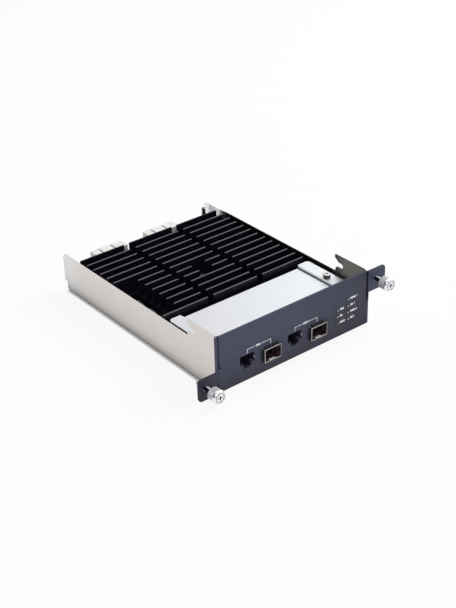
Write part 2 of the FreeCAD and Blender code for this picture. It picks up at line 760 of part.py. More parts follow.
def rj_jack(port):
    """Jack housing with a T-shaped cavity open to the front."""
    x = jack_x(port)
    half = JACK_WIDTH / 2
    housing = box(x - half, x + half, TRAY_FRONT, TRAY_FRONT + JACK_DEPTH, BOARD_TOP, BOARD_TOP + JACK_HEIGHT)
    return housing.cut(prism_y(jack_shape(x, 0), TRAY_FRONT, TRAY_FRONT + JACK_CAVITY_DEPTH))


def jack_contacts(port):
    """Row of sprung contacts that slope down from the roof to the rear wall."""
    rear = TRAY_FRONT + JACK_CAVITY_DEPTH
    roof = BOARD_TOP + JACK_CAVITY_TOP
    path = [
        (TRAY_FRONT + CONTACT_FRONT, roof - CONTACT_SHEET),
        (TRAY_FRONT + CONTACT_FRONT + CONTACT_DROP, roof - CONTACT_SHEET),
        (rear - CONTACT_DROP, roof - CONTACT_DROP - CONTACT_SHEET),
        (rear, roof - CONTACT_DROP - CONTACT_SHEET),
    ]
    section = [(y, z, 0.0) for y, z, _ in sheet_section(path, CONTACT_SHEET, 0.0)]
    half = CONTACT_WIDTH / 2
    pieces = []
    for offset in spread(CONTACT_COUNT, CONTACT_PITCH):
        x = jack_x(port) + offset
        pieces.append(prism_x(section, x - half, x + half))
    return Part.makeCompound(pieces)


def cage_front():
    """Front edge of the transceiver cages."""
    return -CAGE_PROUD


def cage_rear():
    """Rear edge of the transceiver cages."""
    return cage_front() + CAGE_DEPTH


def sfp_cage(port):
    """Sheet cage open to the front, with a tongue below and a floor window at the rear."""
    x = cage_x(port)
    half = CAGE_WIDTH / 2
    top = BOARD_TOP + CAGE_HEIGHT
    shell = box(x - half, x + half, cage_front(), cage_rear(), BOARD_TOP, top)
    inner_half = half - CAGE_SHEET
    inner_foot = BOARD_TOP + CAGE_SHEET
    inner_rear = cage_rear() - CAGE_SHEET
    inner_top = top - CAGE_SHEET
    shell = shell.cut(box(x - inner_half, x + inner_half, cage_front(), inner_rear, inner_foot, inner_top))
    window_front = cage_rear() - CAGE_SHEET - SOCKET_DEPTH - 2 * SOCKET_REAR_GAP
    shell = shell.cut(box(x - inner_half, x + inner_half, window_front, inner_rear, BOARD_TOP, inner_foot))
    tongue_half = CAGE_TONGUE_WIDTH / 2
    tip_half = CAGE_TONGUE_TIP / 2
    tongue_front = cage_front() - CAGE_TONGUE_LENGTH
    tongue = [
        (x - tongue_half, cage_front(), 0.0),
        (x - tip_half, tongue_front, 0.0),
        (x + tip_half, tongue_front, 0.0),
        (x + tongue_half, cage_front(), 0.0),
    ]
    return shell.fuse(prism_z(tongue, BOARD_TOP, inner_foot)).removeSplitter()


def socket_front():
    """Front face of the sockets inside the cages."""
    return cage_rear() - CAGE_SHEET - SOCKET_REAR_GAP - SOCKET_DEPTH


def slot_foot():
    """Lower face of a socket's card slot."""
    return BOARD_TOP + (SOCKET_HEIGHT - SOCKET_SLOT_HEIGHT) / 2


def sfp_socket(port):
    """Card-edge socket at the rear of a cage."""
    x = cage_x(port)
    half = SOCKET_WIDTH / 2
    front = socket_front()
    body = box(x - half, x + half, front, front + SOCKET_DEPTH, BOARD_TOP, BOARD_TOP + SOCKET_HEIGHT)
    slot_half = SOCKET_SLOT_WIDTH / 2
    foot = slot_foot()
    slot = rectangle(x - slot_half, x + slot_half, foot, foot + SOCKET_SLOT_HEIGHT)
    return body.cut(prism_y(slot, front, front + SOCKET_SLOT_DEPTH))


def socket_blades(port):
    """Two rows of contact blades on the floor and roof of a socket's slot."""
    front = socket_front() + BLADE_SETBACK
    rear = socket_front() + SOCKET_SLOT_DEPTH
    foot = slot_foot()
    roof = foot + SOCKET_SLOT_HEIGHT
    half = BLADE_WIDTH / 2
    pieces = []
    for offset in spread(BLADE_COUNT, BLADE_PITCH):
        x = cage_x(port) + offset
        pieces.append(box(x - half, x + half, front, rear, foot, foot + BLADE_SHEET))
        pieces.append(box(x - half, x + half, front, rear, roof - BLADE_SHEET, roof))
    return Part.makeCompound(pieces)


def finger(length):
    """Side view of one spring finger: a thin strip, bent outwards between its root and its free end."""
    path = [(0, 0), (length / 2, FINGER_HEIGHT), (length, 0)]
    points = [V(0, y, z) for y, z in path] + [V(0, y, z + COLLAR_SHEET) for y, z in reversed(path)]
    return Part.Face(Part.makePolygon(points + points[:1]))


def spring_collar(port):
    """Band round a cage's nose with bent fingers that fill the panel's window."""
    x = cage_x(port)
    half = CAGE_WIDTH / 2 + COLLAR_GAP
    top = BOARD_TOP + CAGE_HEIGHT + COLLAR_GAP
    start = cage_front() + COLLAR_SETBACK
    end = start + COLLAR_BAND
    band_outer = rectangle(x - half - COLLAR_SHEET, x + half + COLLAR_SHEET, BOARD_TOP, top + COLLAR_SHEET)
    band_inner = rectangle(x - half, x + half, BOARD_TOP, top)
    collar = prism_y(band_outer, start, end).cut(prism_y(band_inner, start, end))
    length = TRAY_FRONT - end
    section = finger(length)
    pieces = []
    top_count = int((CAGE_WIDTH - FINGER_WIDTH) / FINGER_PITCH) + 1
    for offset in spread(top_count, FINGER_PITCH):
        strip = section.extrude(V(FINGER_WIDTH, 0, 0))
        strip.translate(V(x + offset - FINGER_WIDTH / 2, end, top))
        pieces.append(strip)
    side_count = int((CAGE_HEIGHT - FINGER_WIDTH) / FINGER_PITCH) + 1
    middle = BOARD_TOP + CAGE_HEIGHT / 2
    for side in (-1, 1):
        for offset in spread(side_count, FINGER_PITCH):
            strip = section.extrude(V(FINGER_WIDTH, 0, 0))
            strip.translate(V(-FINGER_WIDTH / 2, 0, 0))
            strip.rotate(V(0, 0, 0), V(0, 1, 0), 90 * side)
            strip.translate(V(x + side * half, end, middle + offset))
            pieces.append(strip)
    return collar.fuse(pieces).removeSplitter()


def status_light(x, z):
    """Round light with a bevelled front, seated in its holder."""
    radius = LIGHT_DIAMETER / 2
    front = PANEL_BACK - LIGHT_PROUD
    rear = TRAY_FRONT + LIGHT_DEPTH
    profile = [
        (0, front),
        (radius - LIGHT_EDGE, front),
        (radius, front + LIGHT_EDGE),
        (radius, rear),
        (0, rear),
    ]
    return revolve_y(profile, x, z)


def light_holder(x, count):
    """Upright block behind the panel that carries a stack of lights."""
    half = HOLDER_WIDTH / 2
    top = BOARD_TOP + LIGHT_FOOT + (count - 1) * LIGHT_PITCH + HOLDER_OVER
    body = box(x - half, x + half, TRAY_FRONT, TRAY_FRONT + HOLDER_DEPTH, BOARD_TOP, top)
    seats = []
    for row in range(count):
        z = BOARD_TOP + LIGHT_FOOT + row * LIGHT_PITCH
        seats.append(rod_y(x, z, TRAY_FRONT, TRAY_FRONT + LIGHT_DEPTH, LIGHT_DIAMETER + LIGHT_GAP))
    return body.cut(seats)


def heatsink():
    """Comb of fins on one base, with two channels, a side notch and a round screw well."""
    comb = [(HEATSINK_FRONT, HEATSINK_FOOT, 0.0), (HEATSINK_REAR, HEATSINK_FOOT, 0.0)]
    for row in reversed(range(FIN_ROWS)):
        front = HEATSINK_FRONT + row * FIN_PITCH
        rear = front + FIN_SHEET
        if row < FIN_ROWS - 1:
            comb.append((rear, BASE_TOP, 0.0))
        comb.append((rear, FIN_TOP, 0.0))
        comb.append((front, FIN_TOP, 0.0))
        if row > 0:
            comb.append((front, BASE_TOP, 0.0))
    body = prism_x(comb, -HEATSINK_HALF, HEATSINK_HALF)
    half = CHANNEL_WIDTH / 2
    cutters = []
    for x in (-CHANNEL_X, CHANNEL_X):
        cutters.append(box(x - half, x + half, HEATSINK_FRONT, HEATSINK_REAR, BASE_TOP, FIN_TOP))
    notch_front = HEATSINK_FRONT + FIN_SHEET / 2 + (NOTCH_FIRST_ROW - 0.5) * FIN_PITCH
    notch_rear = HEATSINK_FRONT + FIN_SHEET / 2 + (NOTCH_LAST_ROW + 0.5) * FIN_PITCH
    cutters.append(box(-HEATSINK_HALF, -HEATSINK_HALF + NOTCH_WIDTH, notch_front, notch_rear,
                       HEATSINK_FOOT, FIN_TOP))
    cutters.append(rod(0, WELL_Y, BASE_TOP, FIN_TOP, WELL_DIAMETER))
    cutters.append(rod(0, WELL_Y, HEATSINK_FOOT, BASE_TOP, SCREW_HOLE))
    for x, y in SPACER_PLACES:
        cutters.append(rod(x, y, HEATSINK_FOOT, HEATSINK_FOOT + SPACER_THREAD + BORE_GAP, BORE_DIAMETER))
    return body.cut(cutters)


def chip_x(index):
    """Middle of a controller chip."""
    return (2 * index - 1) * (HEATSINK_HALF - CHIP_INSET)


def controller_chip(index):
    """Square chip package with bevelled upper edges."""
    half = CHIP_WIDTH / 2
    x = chip_x(index)
    body = box(x - half, x + half, WELL_Y - half, WELL_Y + half, BOARD_TOP, BOARD_TOP + CHIP_HEIGHT)
    rim = [edge for edge in body.Edges if edge.BoundBox.ZMin > BOARD_TOP + CHIP_HEIGHT / 2]
    return body.makeChamfer(CHIP_EDGE, rim)


def thermal_pad(index):
    """Soft pad between a chip and the heatsink's base."""
    half = CHIP_WIDTH / 2 - PAD_INSET
    x = chip_x(index)
    foot = BOARD_TOP + CHIP_HEIGHT
    plan = rectangle(x - half, x + half, WELL_Y - half, WELL_Y + half, PAD_INSET)
    return prism_z(plan, foot, foot + PAD_SHEET)


def spring_seat():
    """Underside of the spring screw's head, on top of both spring washers."""
    return BASE_TOP + 2 * SPRING_HEIGHT


def spring_screw():
    """Long screw down the well, through the base and the board, into the nut."""
    seat = spring_seat()
    radius = SCREW_HEAD_DIAMETER / 2
    top = seat + SCREW_HEAD_HEIGHT
    head = [
        (0, seat),
        (radius, seat),
        (radius, top - SCREW_CROWN),
        (radius - SCREW_CROWN, top),
        (0, top),
    ]
    shank = rod(0, WELL_Y, BOARD_FOOT - NUT_HEIGHT, seat, SCREW_DIAMETER)
    return revolve_z(head, 0, WELL_Y).fuse(shank).cut(cross_recess(0, WELL_Y, top))


def clamp_spring():
    """Two conical spring washers, back to back, under the spring screw's head."""
    inner = SCREW_HOLE / 2
    outer = SPRING_DIAMETER / 2
    pieces = []
    for rim, side in ((BASE_TOP, 1), (spring_seat(), -1)):
        peak = rim + side * SPRING_HEIGHT
        sheet = side * SPRING_SHEET
        profile = [(outer, rim), (outer, rim + sheet), (inner, peak), (inner, peak - sheet)]
        pieces.append(revolve_z(profile, 0, WELL_Y))
    return Part.makeCompound(pieces)


def clamp_nut():
    """Hexagonal nut fixed under the board for the spring screw."""
    foot = BOARD_FOOT - NUT_HEIGHT
    nut = hexagon(0, WELL_Y, foot, BOARD_FOOT, NUT_FLATS)
    return nut.cut(rod(0, WELL_Y, foot, BOARD_FOOT, BORE_DIAMETER))


def heatsink_spacers():
    """Hexagonal spacers between the board and the heatsink's base."""
    pieces = []
    for x, y in SPACER_PLACES:
        piece = hexagon(x, y, BOARD_TOP, HEATSINK_FOOT, SPACER_FLATS)
        pieces.append(piece.cut(rod(x, y, BOARD_TOP, HEATSINK_FOOT, SCREW_HOLE)))
    return Part.makeCompound(pieces)


def heatsink_screws():
    """Screws from under the board, through the spacers, into the heatsink's base."""
    head = BOARD_FOOT - SCREW_HEAD_HEIGHT
    tip = HEATSINK_FOOT + SPACER_THREAD
    return Part.makeCompound([plain_screw(x, y, BOARD_FOOT, head, tip) for x, y in SPACER_PLACES])


def magnetic(port):
    """Isolating transformer block behind a jack."""
    x = jack_x(port)
    front = TRAY_FRONT + JACK_DEPTH + MAGNETIC_GAP
    half = MAGNETIC_WIDTH / 2
    foot_sheet = MAGNETIC_LEAD
    path = [
        (x - half, BOARD_TOP, 0.0),
        (x + half, BOARD_TOP, 0.0),
        (x + half, BOARD_TOP + foot_sheet, 0.0),
        (x + half - foot_sheet, BOARD_TOP + foot_sheet, 0.0),
        (x + half - foot_sheet, BOARD_TOP + MAGNETIC_HEIGHT, foot_sheet / 2),
        (x - half + foot_sheet, BOARD_TOP + MAGNETIC_HEIGHT, foot_sheet / 2),
        (x - half + foot_sheet, BOARD_TOP + foot_sheet, 0.0),
        (x - half, BOARD_TOP + foot_sheet, 0.0),
    ]
    return prism_y(path, front, front + MAGNETIC_DEPTH)


def notch_middle():
    """Middle of the heatsink's side notch, as x and y."""
    rows = (NOTCH_FIRST_ROW + NOTCH_LAST_ROW) / 2
    return -HEATSINK_HALF + NOTCH_WIDTH / 2, HEATSINK_FRONT + FIN_SHEET / 2 + rows * FIN_PITCH


def power_inductors():
    """Row of square coils that stand in the heatsink's side notch."""
    x, y = notch_middle()
    half = INDUCTOR_WIDTH / 2
    top = BOARD_TOP + INDUCTOR_HEIGHT
    pieces = []
    for offset in spread(INDUCTOR_COUNT, INDUCTOR_PITCH):
        block = box(x - half, x + half, y + offset - half, y + offset + half, BOARD_TOP, top)
        upright = [edge for edge in block.Edges if edge.BoundBox.ZLength > INDUCTOR_HEIGHT / 2]
        pieces.append(block.makeChamfer(INDUCTOR_EDGE, upright))
    return Part.makeCompound(pieces)


def capacitors():
    """Round capacitors on square bases, one beside each cage's rear."""
    pieces = []
    half = CAPACITOR_BASE / 2
    base_top = BOARD_TOP + CAPACITOR_BASE_HEIGHT
    for port in range(PORT_COUNT):
        x = cage_x(port)
        y = cage_rear() + CAPACITOR_GAP + half
        for side in (-1, 1):
            middle = x + side * CAPACITOR_X
            base = box(middle - half, middle + half, y - half, y + half, BOARD_TOP, base_top)
            can = rod(middle, y, base_top, BOARD_TOP + CAPACITOR_HEIGHT, CAPACITOR_DIAMETER)
            pieces.append(base.fuse(can).removeSplitter())
    return Part.makeCompound(pieces)


def rear_connector(index):
    """Backplane connector of three keyed blocks with rows of cells in its rear face."""
    width = sum(CONNECTOR_BLOCKS) + CONNECTOR_NOTCH * (len(CONNECTOR_BLOCKS) - 1)
    left = CONNECTOR_X + (index - 0.5) * CONNECTOR_PITCH - width / 2
    front = BOARD_REAR - CONNECTOR_SEAT
    rear = front + CONNECTOR_DEPTH
    top = BOARD_TOP + CONNECTOR_HEIGHT
    body = box(left, left + width, front, rear, BOARD_TOP, top)
    cutters = []
    x = left
    for block in CONNECTOR_BLOCKS:
        columns = int((block - CELL_WIDTH) / CELL_PITCH) + 1
        for offset in spread(columns, CELL_PITCH):
            middle = x + block / 2 + offset
            for row in range(CELL_ROWS):
                foot = BOARD_TOP + CELL_FOOT + row * CELL_PITCH
                cutters.append(box(middle - CELL_WIDTH / 2, middle + CELL_WIDTH / 2,
                                   rear - CELL_DEPTH, rear, foot, foot + CELL_HEIGHT))
        x += block
        if x < left + width - CONNECTOR_NOTCH:
            cutters.append(box(x, x + CONNECTOR_NOTCH, front, rear, top - CONNECTOR_NOTCH_DEPTH, top))
        x += CONNECTOR_NOTCH
    return body.cut(cutters)


def guide_post():
    """Turned post with a flange that keys the module at its rear corner."""
    x = BOARD_WIDTH / 2 - GUIDE_INSET
    y = BOARD_REAR - GUIDE_REAR
    radius = GUIDE_DIAMETER / 2
    flange = GUIDE_FLANGE_DIAMETER / 2
    top = BOARD_TOP + GUIDE_HEIGHT
    profile = [
        (0, BOARD_TOP),
        (flange, BOARD_TOP),
        (flange, BOARD_TOP + GUIDE_FLANGE),
        (radius, BOARD_TOP + GUIDE_FLANGE),
        (radius, top - GUIDE_EDGE),
        (radius - GUIDE_EDGE, top),
        (0, top),
    ]
    return revolve_z(profile, x, y)


def all_nodes():
    """Every sub-part by its name."""
    nodes = {
        "tray": tray(),
        "front_panel": front_panel(),
        "ear_plate_left": ear_plate(-1),
        "ear_plate_right": ear_plate(1),
        "thumbscrew_left": thumbscrew(LEFT_EAR_X, LEFT_EAR_Z),
        "thumbscrew_right": thumbscrew(RIGHT_EAR_X, RIGHT_EAR_Z),
        "retaining_clip_left": retaining_clip(LEFT_EAR_X, LEFT_EAR_Z),
        "retaining_clip_right": retaining_clip(RIGHT_EAR_X, RIGHT_EAR_Z),
        "circuit_board": circuit_board(),
        "board_standoffs": standoffs(),
        "board_screws": board_screws(),
        "cover_plate": cover_plate(),
        "cover_post_left": cover_post(*POST_PLACES[0]),
        "cover_post_right": cover_post(*POST_PLACES[1]),
        "cover_screws": cover_screws(),
        "light_holder_left": light_holder(LIGHT_LEFT_X, LIGHT_LEFT_COUNT),
        "light_holder_right": light_holder(LIGHT_RIGHT_X, LIGHT_RIGHT_COUNT),
        "heatsink": heatsink(),
        "spring_screw": spring_screw(),
        "clamp_spring": clamp_spring(),
        "clamp_nut": clamp_nut(),
        "heatsink_spacers": heatsink_spacers(),
        "heatsink_screws": heatsink_screws(),
        "power_inductors": power_inductors(),
        "capacitors": capacitors(),
        "guide_post": guide_post(),
    }
    for number, (x, z) in enumerate(light_places(), start=1):
        nodes[f"status_light_{number}"] = status_light(x, z)
    for port in range(PORT_COUNT):
        number = port + 1
        nodes[f"copper_jack_{number}"] = rj_jack(port)
        nodes[f"jack_contacts_{number}"] = jack_contacts(port)
        nodes[f"transceiver_cage_{number}"] = sfp_cage(port)
        nodes[f"spring_collar_{number}"] = spring_collar(port)
        nodes[f"cage_socket_{number}"] = sfp_socket(port)
        nodes[f"socket_blades_{number}"] = socket_blades(port)
        nodes[f"port_transformer_{number}"] = magnetic(port)
        nodes[f"controller_chip_{number}"] = controller_chip(port)
        nodes[f"thermal_pad_{number}"] = thermal_pad(port)
        nodes[f"rear_connector_{number}"] = rear_connector(port)
    return nodes


def main():
    os.makedirs("parts", exist_ok=True)
    for name, shape in all_nodes().items():
        shape.translate(V(0, -ORIGIN_Y, 0))
        shape.exportStep(os.path.join("parts", name + ".step"))


main()
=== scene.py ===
import bmesh
import bpy
import json
import math
from mathutils import Matrix, Vector


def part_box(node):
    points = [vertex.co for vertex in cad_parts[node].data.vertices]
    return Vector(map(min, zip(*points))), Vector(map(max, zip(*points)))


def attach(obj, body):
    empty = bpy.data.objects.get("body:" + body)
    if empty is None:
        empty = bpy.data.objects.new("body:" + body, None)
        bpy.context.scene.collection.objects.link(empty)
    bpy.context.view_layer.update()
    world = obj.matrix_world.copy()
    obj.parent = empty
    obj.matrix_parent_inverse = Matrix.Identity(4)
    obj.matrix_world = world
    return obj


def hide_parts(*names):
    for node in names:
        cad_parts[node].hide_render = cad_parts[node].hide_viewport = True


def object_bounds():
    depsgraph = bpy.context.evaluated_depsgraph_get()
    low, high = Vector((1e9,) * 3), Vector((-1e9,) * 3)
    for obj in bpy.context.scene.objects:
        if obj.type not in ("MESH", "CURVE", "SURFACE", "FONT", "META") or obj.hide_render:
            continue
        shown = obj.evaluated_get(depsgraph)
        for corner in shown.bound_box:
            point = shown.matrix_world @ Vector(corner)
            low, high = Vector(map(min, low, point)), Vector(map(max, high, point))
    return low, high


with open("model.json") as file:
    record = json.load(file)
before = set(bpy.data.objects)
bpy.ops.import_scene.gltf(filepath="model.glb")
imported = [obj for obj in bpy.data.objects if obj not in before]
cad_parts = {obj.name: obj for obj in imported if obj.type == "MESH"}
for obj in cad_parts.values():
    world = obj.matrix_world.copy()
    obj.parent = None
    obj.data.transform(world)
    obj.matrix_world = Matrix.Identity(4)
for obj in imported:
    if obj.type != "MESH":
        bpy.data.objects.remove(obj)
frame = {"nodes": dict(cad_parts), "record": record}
cad_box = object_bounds()
nodes = frame["nodes"]
MM = 0.001
PORTS = (1, 2)
LIGHTS = range(1, 8)
SIDES = ("left", "right")
WHITE = (1.0, 1.0, 1.0)

# Camera fitted to the photograph's box edges
PHOTO_SIZE = (456, 608)
SENSOR = 36.0
FOCAL_PIXELS = 1247.0
CAMERA_AZIMUTH = math.radians(-37.9)
CAMERA_ELEVATION = math.radians(30.58)
CAMERA_ROLL = math.radians(-1.73)
CAMERA_DISTANCE = 0.8094
CAMERA_CLIP = 0.01
CORNER_PIXEL = (217.3, 337.4)
CORNER_LIFT = 0.1 * MM

# Surroundings: strengths, and the bands of direction in which they fade
WORLD_COLOUR = (0.97, 0.985, 1.0, 1.0)
WORLD_FILL = 0.42
WORLD_HORIZON = 0.45
WORLD_LEFT = 0.12
HORIZON_BAND = (0.05, 0.4)
LEFT_BAND = (-0.35, 0.15)

# Lamps: power in watts, then side and place in metres
LAMPS = {
    "key_light": (15.0, 1.0, (1.15, -0.15, 1.0)),
    "top_light": (6.0, 1.4, (-0.2, 0.1, 1.6)),
    "front_light": (3.0, 0.8, (-0.7, -1.3, 0.8)),
}
LAMP_TARGET = (0, 0, 0.02)

# Floor: half its side in metres, its drop in millimetres, its colour and its glow
FLOOR_REACH = 4.0
FLOOR_DROP = 0.05
FLOOR_COLOUR = (0.86, 0.86, 0.86, 1.0)
FLOOR_GLOW = 0.88

# Line of shadow on the floor: its strength, and where it fades, in millimetres from the tray's edges
SHADOW_LINE = 0.9
SHADOW_LEFT = (-2.2, -0.8)
SHADOW_RIGHT = (2.0, 3.0)
SHADOW_FRONT = (0.0, 1.0)
SHADOW_REAR = (-4.5, -3.0)

# White print on the front panel, in millimetres
PRINT_LIFT = 0.03
LINE_WIDTH = 0.36
BRACKET_RISE = 5.3
BRACKET_JACK_FOOT = -0.2
BRACKET_CAGE_FOOT = 1.7
BRACKET_GAP = 6.4
BRACKET_TICKS = 3
BRACKET_TICK_PLACE = 0.6
BRACKET_DIGIT_PLACE = 4.8
TICK_WIDTH = 1.0
TICK_HEIGHT = 1.6
TICK_PITCH = 1.25
DIGIT_WIDTH = 1.15
DIGIT_HEIGHT = 1.7
DIGIT_STROKE = 0.42
DIGIT_GAP = 0.4
LABEL_GAP = 1.1
SEGMENTS_OF_DIGIT = {1: "bc", 2: "abged"}

# Marks beside each light: how many plain ticks, and the port's digit if it has one
LIGHT_LABELS = {1: (3, None), 2: (2, None), 3: (4, None), 4: (4, 1), 5: (2, 1), 6: (4, 2), 7: (2, 2)}

# How far round its face a tone reaches, in millimetres
CLOSE = 0.05
NEAR = 0.1

# Range of a noise in which nearly all of it lies
NOISE_LOW = 0.3
NOISE_HIGH = 0.7

# Grain of the metals: features per metre along each axis
TRAY_GRAIN = (900.0, 30.0, 2600.0)
COVER_GRAIN = (30.0, 2400.0, 900.0)
HEATSINK_GRAIN = (60.0, 2400.0, 2400.0)
CAGE_GRAIN = (2500.0, 90.0, 2500.0)
TOOL_MARKS = (600.0, 5200.0, 600.0)

# Tray: sheet, folds and places of tones, painted shade and painted light in millimetres; painted shade by
# share of the height over which it fades
SHEET = 1.0
TRAY_FOLD = 2.6
TRAY_SHADE_RISE = 30.0
TRAY_PAINTED_SHADE = ((0.0, 0.74), (0.15, 0.46), (0.27, 0.23), (0.47, 0.10), (0.95, 0.01))
TRAY_COOL_END = (-24.0, -10.0)
TRAY_PAINTED_LIGHT_END = (-30.0, -22.0)
TRAY_HOOK_SHADE = (23.0, 36.0)

# Cover: places of tones and of a painted shadow line below its top, and across from its left edge, in
# millimetres
COVER_SHADOW_LINE = (-1.95, -0.85)
COVER_BROW = (-0.85, -0.02)
COVER_WARMTH = 105.0

# Front panel: places of tones and painted shade in millimetres; painted shade by share of its height
UPPER_RIGHT = 67.5
EAR_SHADE = 6.0
PANEL_SHADE_BY_HEIGHT = ((0.0, 0.50), (0.07, 0.55), (0.23, 0.75), (0.64, 1.0))
SLIT_WIDTH = 1.4
SLIT_FOOT = 20.2
SLIT_BEND = (-0.1, 1.1)
BEND_DEPTH = 0.3
WINDOW_GAP = 0.35
WINDOW_GLINT = (16.0, 17.8)
SILL_GLINT = (2.3, 3.5)
SILL_GLINT_HEIGHT = (10.6, 10.8)

# Heatsink: places of the painted highlight on its fins, in millimetres
FIN_PITCH = 8.7
FIN_EDGE = (1.0, 1.25)
FIN_TIP = (-0.25, -0.10)
LAST_FIN = (-4.0, -3.5)
FIRST_FACE = 5.0

# Screws, rear connectors, cages and jacks: places of tones, painted shade and painted highlights, in
# millimetres
HEAD_TOP = 0.2
KEYWAY = 0.9
KEYWAY_STARTS = (6.6, 17.5)
KEYWAY_SLACK = 0.03
CAGE_TONGUE = 1.3
CAGE_RIM = (0.12, 0.3)
CAGE_RIGHT_RIM = 0.5
CAGE_SKIN = 0.2
TONGUE_HALF = 2.4
TONGUE_RISE = 0.5
TONGUE_CREST = (-0.05, 2.2)
JACK_MOUTH = 12.0
JACK_LEDGE = 4.9
LEDGE_GLINT = (-2.9, -0.4)
LEDGE_DEPTH = 1.4

# Dark blocks behind the panel's slits, put there as painted shade, in millimetres
SHADE_BLOCK_OF_SIDE = {"left": (-67.15, -65.25), "right": (66.2, 68.1)}
SHADE_BLOCK_GAP = 0.05
SHADE_BLOCK_DEPTH = 1.75
SHADE_BLOCK_FOOT = 20.0
SHADE_BLOCK_DROP = 0.9
SHADE_BLOCK_ROUNDING = 0.2

# Flutes and thread of a thumbscrew: lengths in millimetres, half a flute in radians
SCREW_SEGMENTS = 120
FLUTES = 24
FLUTE_DEPTH = 0.4
FLUTE_HALF_TURN = 0.08
THREAD_PITCH = 0.7
THREAD_DEPTH = 0.38
THREAD_FLANK = 2.4
THREAD_ROWS = 8
THREAD_RUNOUT = 0.6

# Turned profile of a thumbscrew from its node's front face, in millimetres
KNOB_RIM = 5.3
KNOB_GRIP = 4.9
KNOB_NECK = 4.4
SHANK = 1.8
THREAD = 2.0
TIP = 1.3
CLIP_GROOVE = 1.5
RING_INNER = 2.9
RING_OUTER = 3.65
RING_DRAFT = 0.05
RING_FLARE = 0.15
RING_LIP = 0.12
RING_DEPTH = 0.55
RIM_END = 2.2
GRIP_START = 2.8
KNOB_END = 8.0
GROOVE_START = 15.76
GROOVE_END = 16.44
SCREW_END = 24.44
TIP_LENGTH = 0.3
EDGE_BREAK = 0.2
GRIP_BREAK = 0.4
SHANK_FILLET = 0.3
CROSS_HALF = 1.8
CROSS_WIDTH = 0.8
CROSS_DEPTH = 1.4
CUT_LEAD = 1.0

# Rounded edge of the knob's face: depth and how far inside the rim, in millimetres
CROWN = ((0.0, 1.2), (0.12, 1.0), (0.9, 0.12), (1.1, 0.0))

# Painted shade and painted highlight on a thumbscrew: depths from its front face and distances from its
# axis, in millimetres
CROSS_SHADE_REACH = 2.2
CROSS_SHADE_BAND = (0.15, 2.0)
RING_SHADE_BAND = (0.14, 0.7)
NECK_SHADE_BAND = (2.0, 7.9)
NECK_INSET = 0.12
HIGHLIGHT_WIDTH = (-0.7, 1.3)
HIGHLIGHT_FOOT = 0.9

# Softened edges: lengths in millimetres, angles in degrees
WELD_REACH = 0.002
FLAT_ANGLE = 0.5
BEVEL_ANGLE = 35
BEVEL_SEGMENTS = 2
SMOOTH_ANGLE = 32
EDGE_OF_SLOT = {
    "bare_sheet": 0.12,
    "panel_paint": 0.15,
    "black_anodised": 0.12,
    "steel_hardware": 0.1,
    "black_plastic": 0.12,
    "pale_plastic": 0.15,
    "ferrite": 0.3,
}

# Colour sockets of a mix node, whose names repeat
MIX_FIRST = 6
MIX_SECOND = 7
MIX_RESULT = 2


def node_box(name):
    """A node's corners in millimetres."""
    low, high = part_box(name)
    return low / MM, high / MM


def band(edge, offsets):
    """Two places at offsets from an edge."""
    return edge + offsets[0], edge + offsets[1]


def tint(colour, factor):
    """A colour made darker or paler."""
    return tuple(channel * factor for channel in colour)


class Nodes:
    """A node tree under construction. A value is a number, a colour or another node's output."""

    def __init__(self, tree, coordinates):
        self.tree = tree
        self.place = self.add("ShaderNodeTexCoord").outputs[coordinates]

    def add(self, kind, **values):
        """Adds a node and sets its properties."""
        node = self.tree.nodes.new(kind)
        for key, value in values.items():
            setattr(node, key, value)
        return node

    def put(self, socket, value):
        """Links an output to a socket, or sets the socket; a colour of three channels becomes opaque."""
        if isinstance(value, bpy.types.NodeSocket):
            self.tree.links.new(value, socket)
        elif socket.type == "RGBA" and len(value) == 3:
            socket.default_value = (*value, 1.0)
        else:
            socket.default_value = value

    def feed(self, node, **sockets):
        """Sets or links a node's inputs by name, with an underscore for each space."""
        for key, value in sockets.items():
            self.put(node.inputs[key.replace("_", " ")], value)
        return node

    def math(self, operation, first, second=0.0):
        """Result of a sum; some operations use the first value only."""
        node = self.add("ShaderNodeMath", operation=operation)
        self.put(node.inputs[0], first)
        self.put(node.inputs[1], second)
        return node.outputs["Value"]

    def both(self, *masks):
        """Product of masks or levels."""
        product = masks[0]
        for mask in masks[1:]:
            product = self.math("MULTIPLY", product, mask)
        return product

    def above(self, value, limit):
        """One where a value is over a limit, zero elsewhere."""
        return self.math("GREATER_THAN", value, limit)

    def below(self, value, limit):
        """One where a value is under a limit, zero elsewhere."""
        return self.math("LESS_THAN", value, limit)

    def between(self, value, low, high):
        """One where a value lies between two limits, zero elsewhere."""
        return self.both(self.above(value, low), self.below(value, high))

    def span(self, value, start, end, low=0.0, high=1.0):
        """Maps the range from start to end onto the range from low to high, clamped."""
        node = self.add("ShaderNodeMapRange")
        self.feed(node, Value=value, From_Min=start, From_Max=end, To_Min=low, To_Max=high)
        return node.outputs["Result"]

    def select(self, mask, without, within):
        """One level where a mask is zero and another where it is one."""
        return self.span(mask, 0.0, 1.0, without, within)

    def component(self, vector, axis):
        """One component of a vector."""
        return self.feed(self.add("ShaderNodeSeparateXYZ"), Vector=vector).outputs[axis]

    def axis(self, name):
        """The place along an axis, in millimetres."""
        return self.math("DIVIDE", self.component(self.place, name), MM)

    def length(self, first, second):
        """Distance from an axis, by two offsets at a right angle."""
        squares = [self.math("MULTIPLY", value, value) for value in (first, second)]
        return self.math("SQRT", self.math("ADD", *squares))


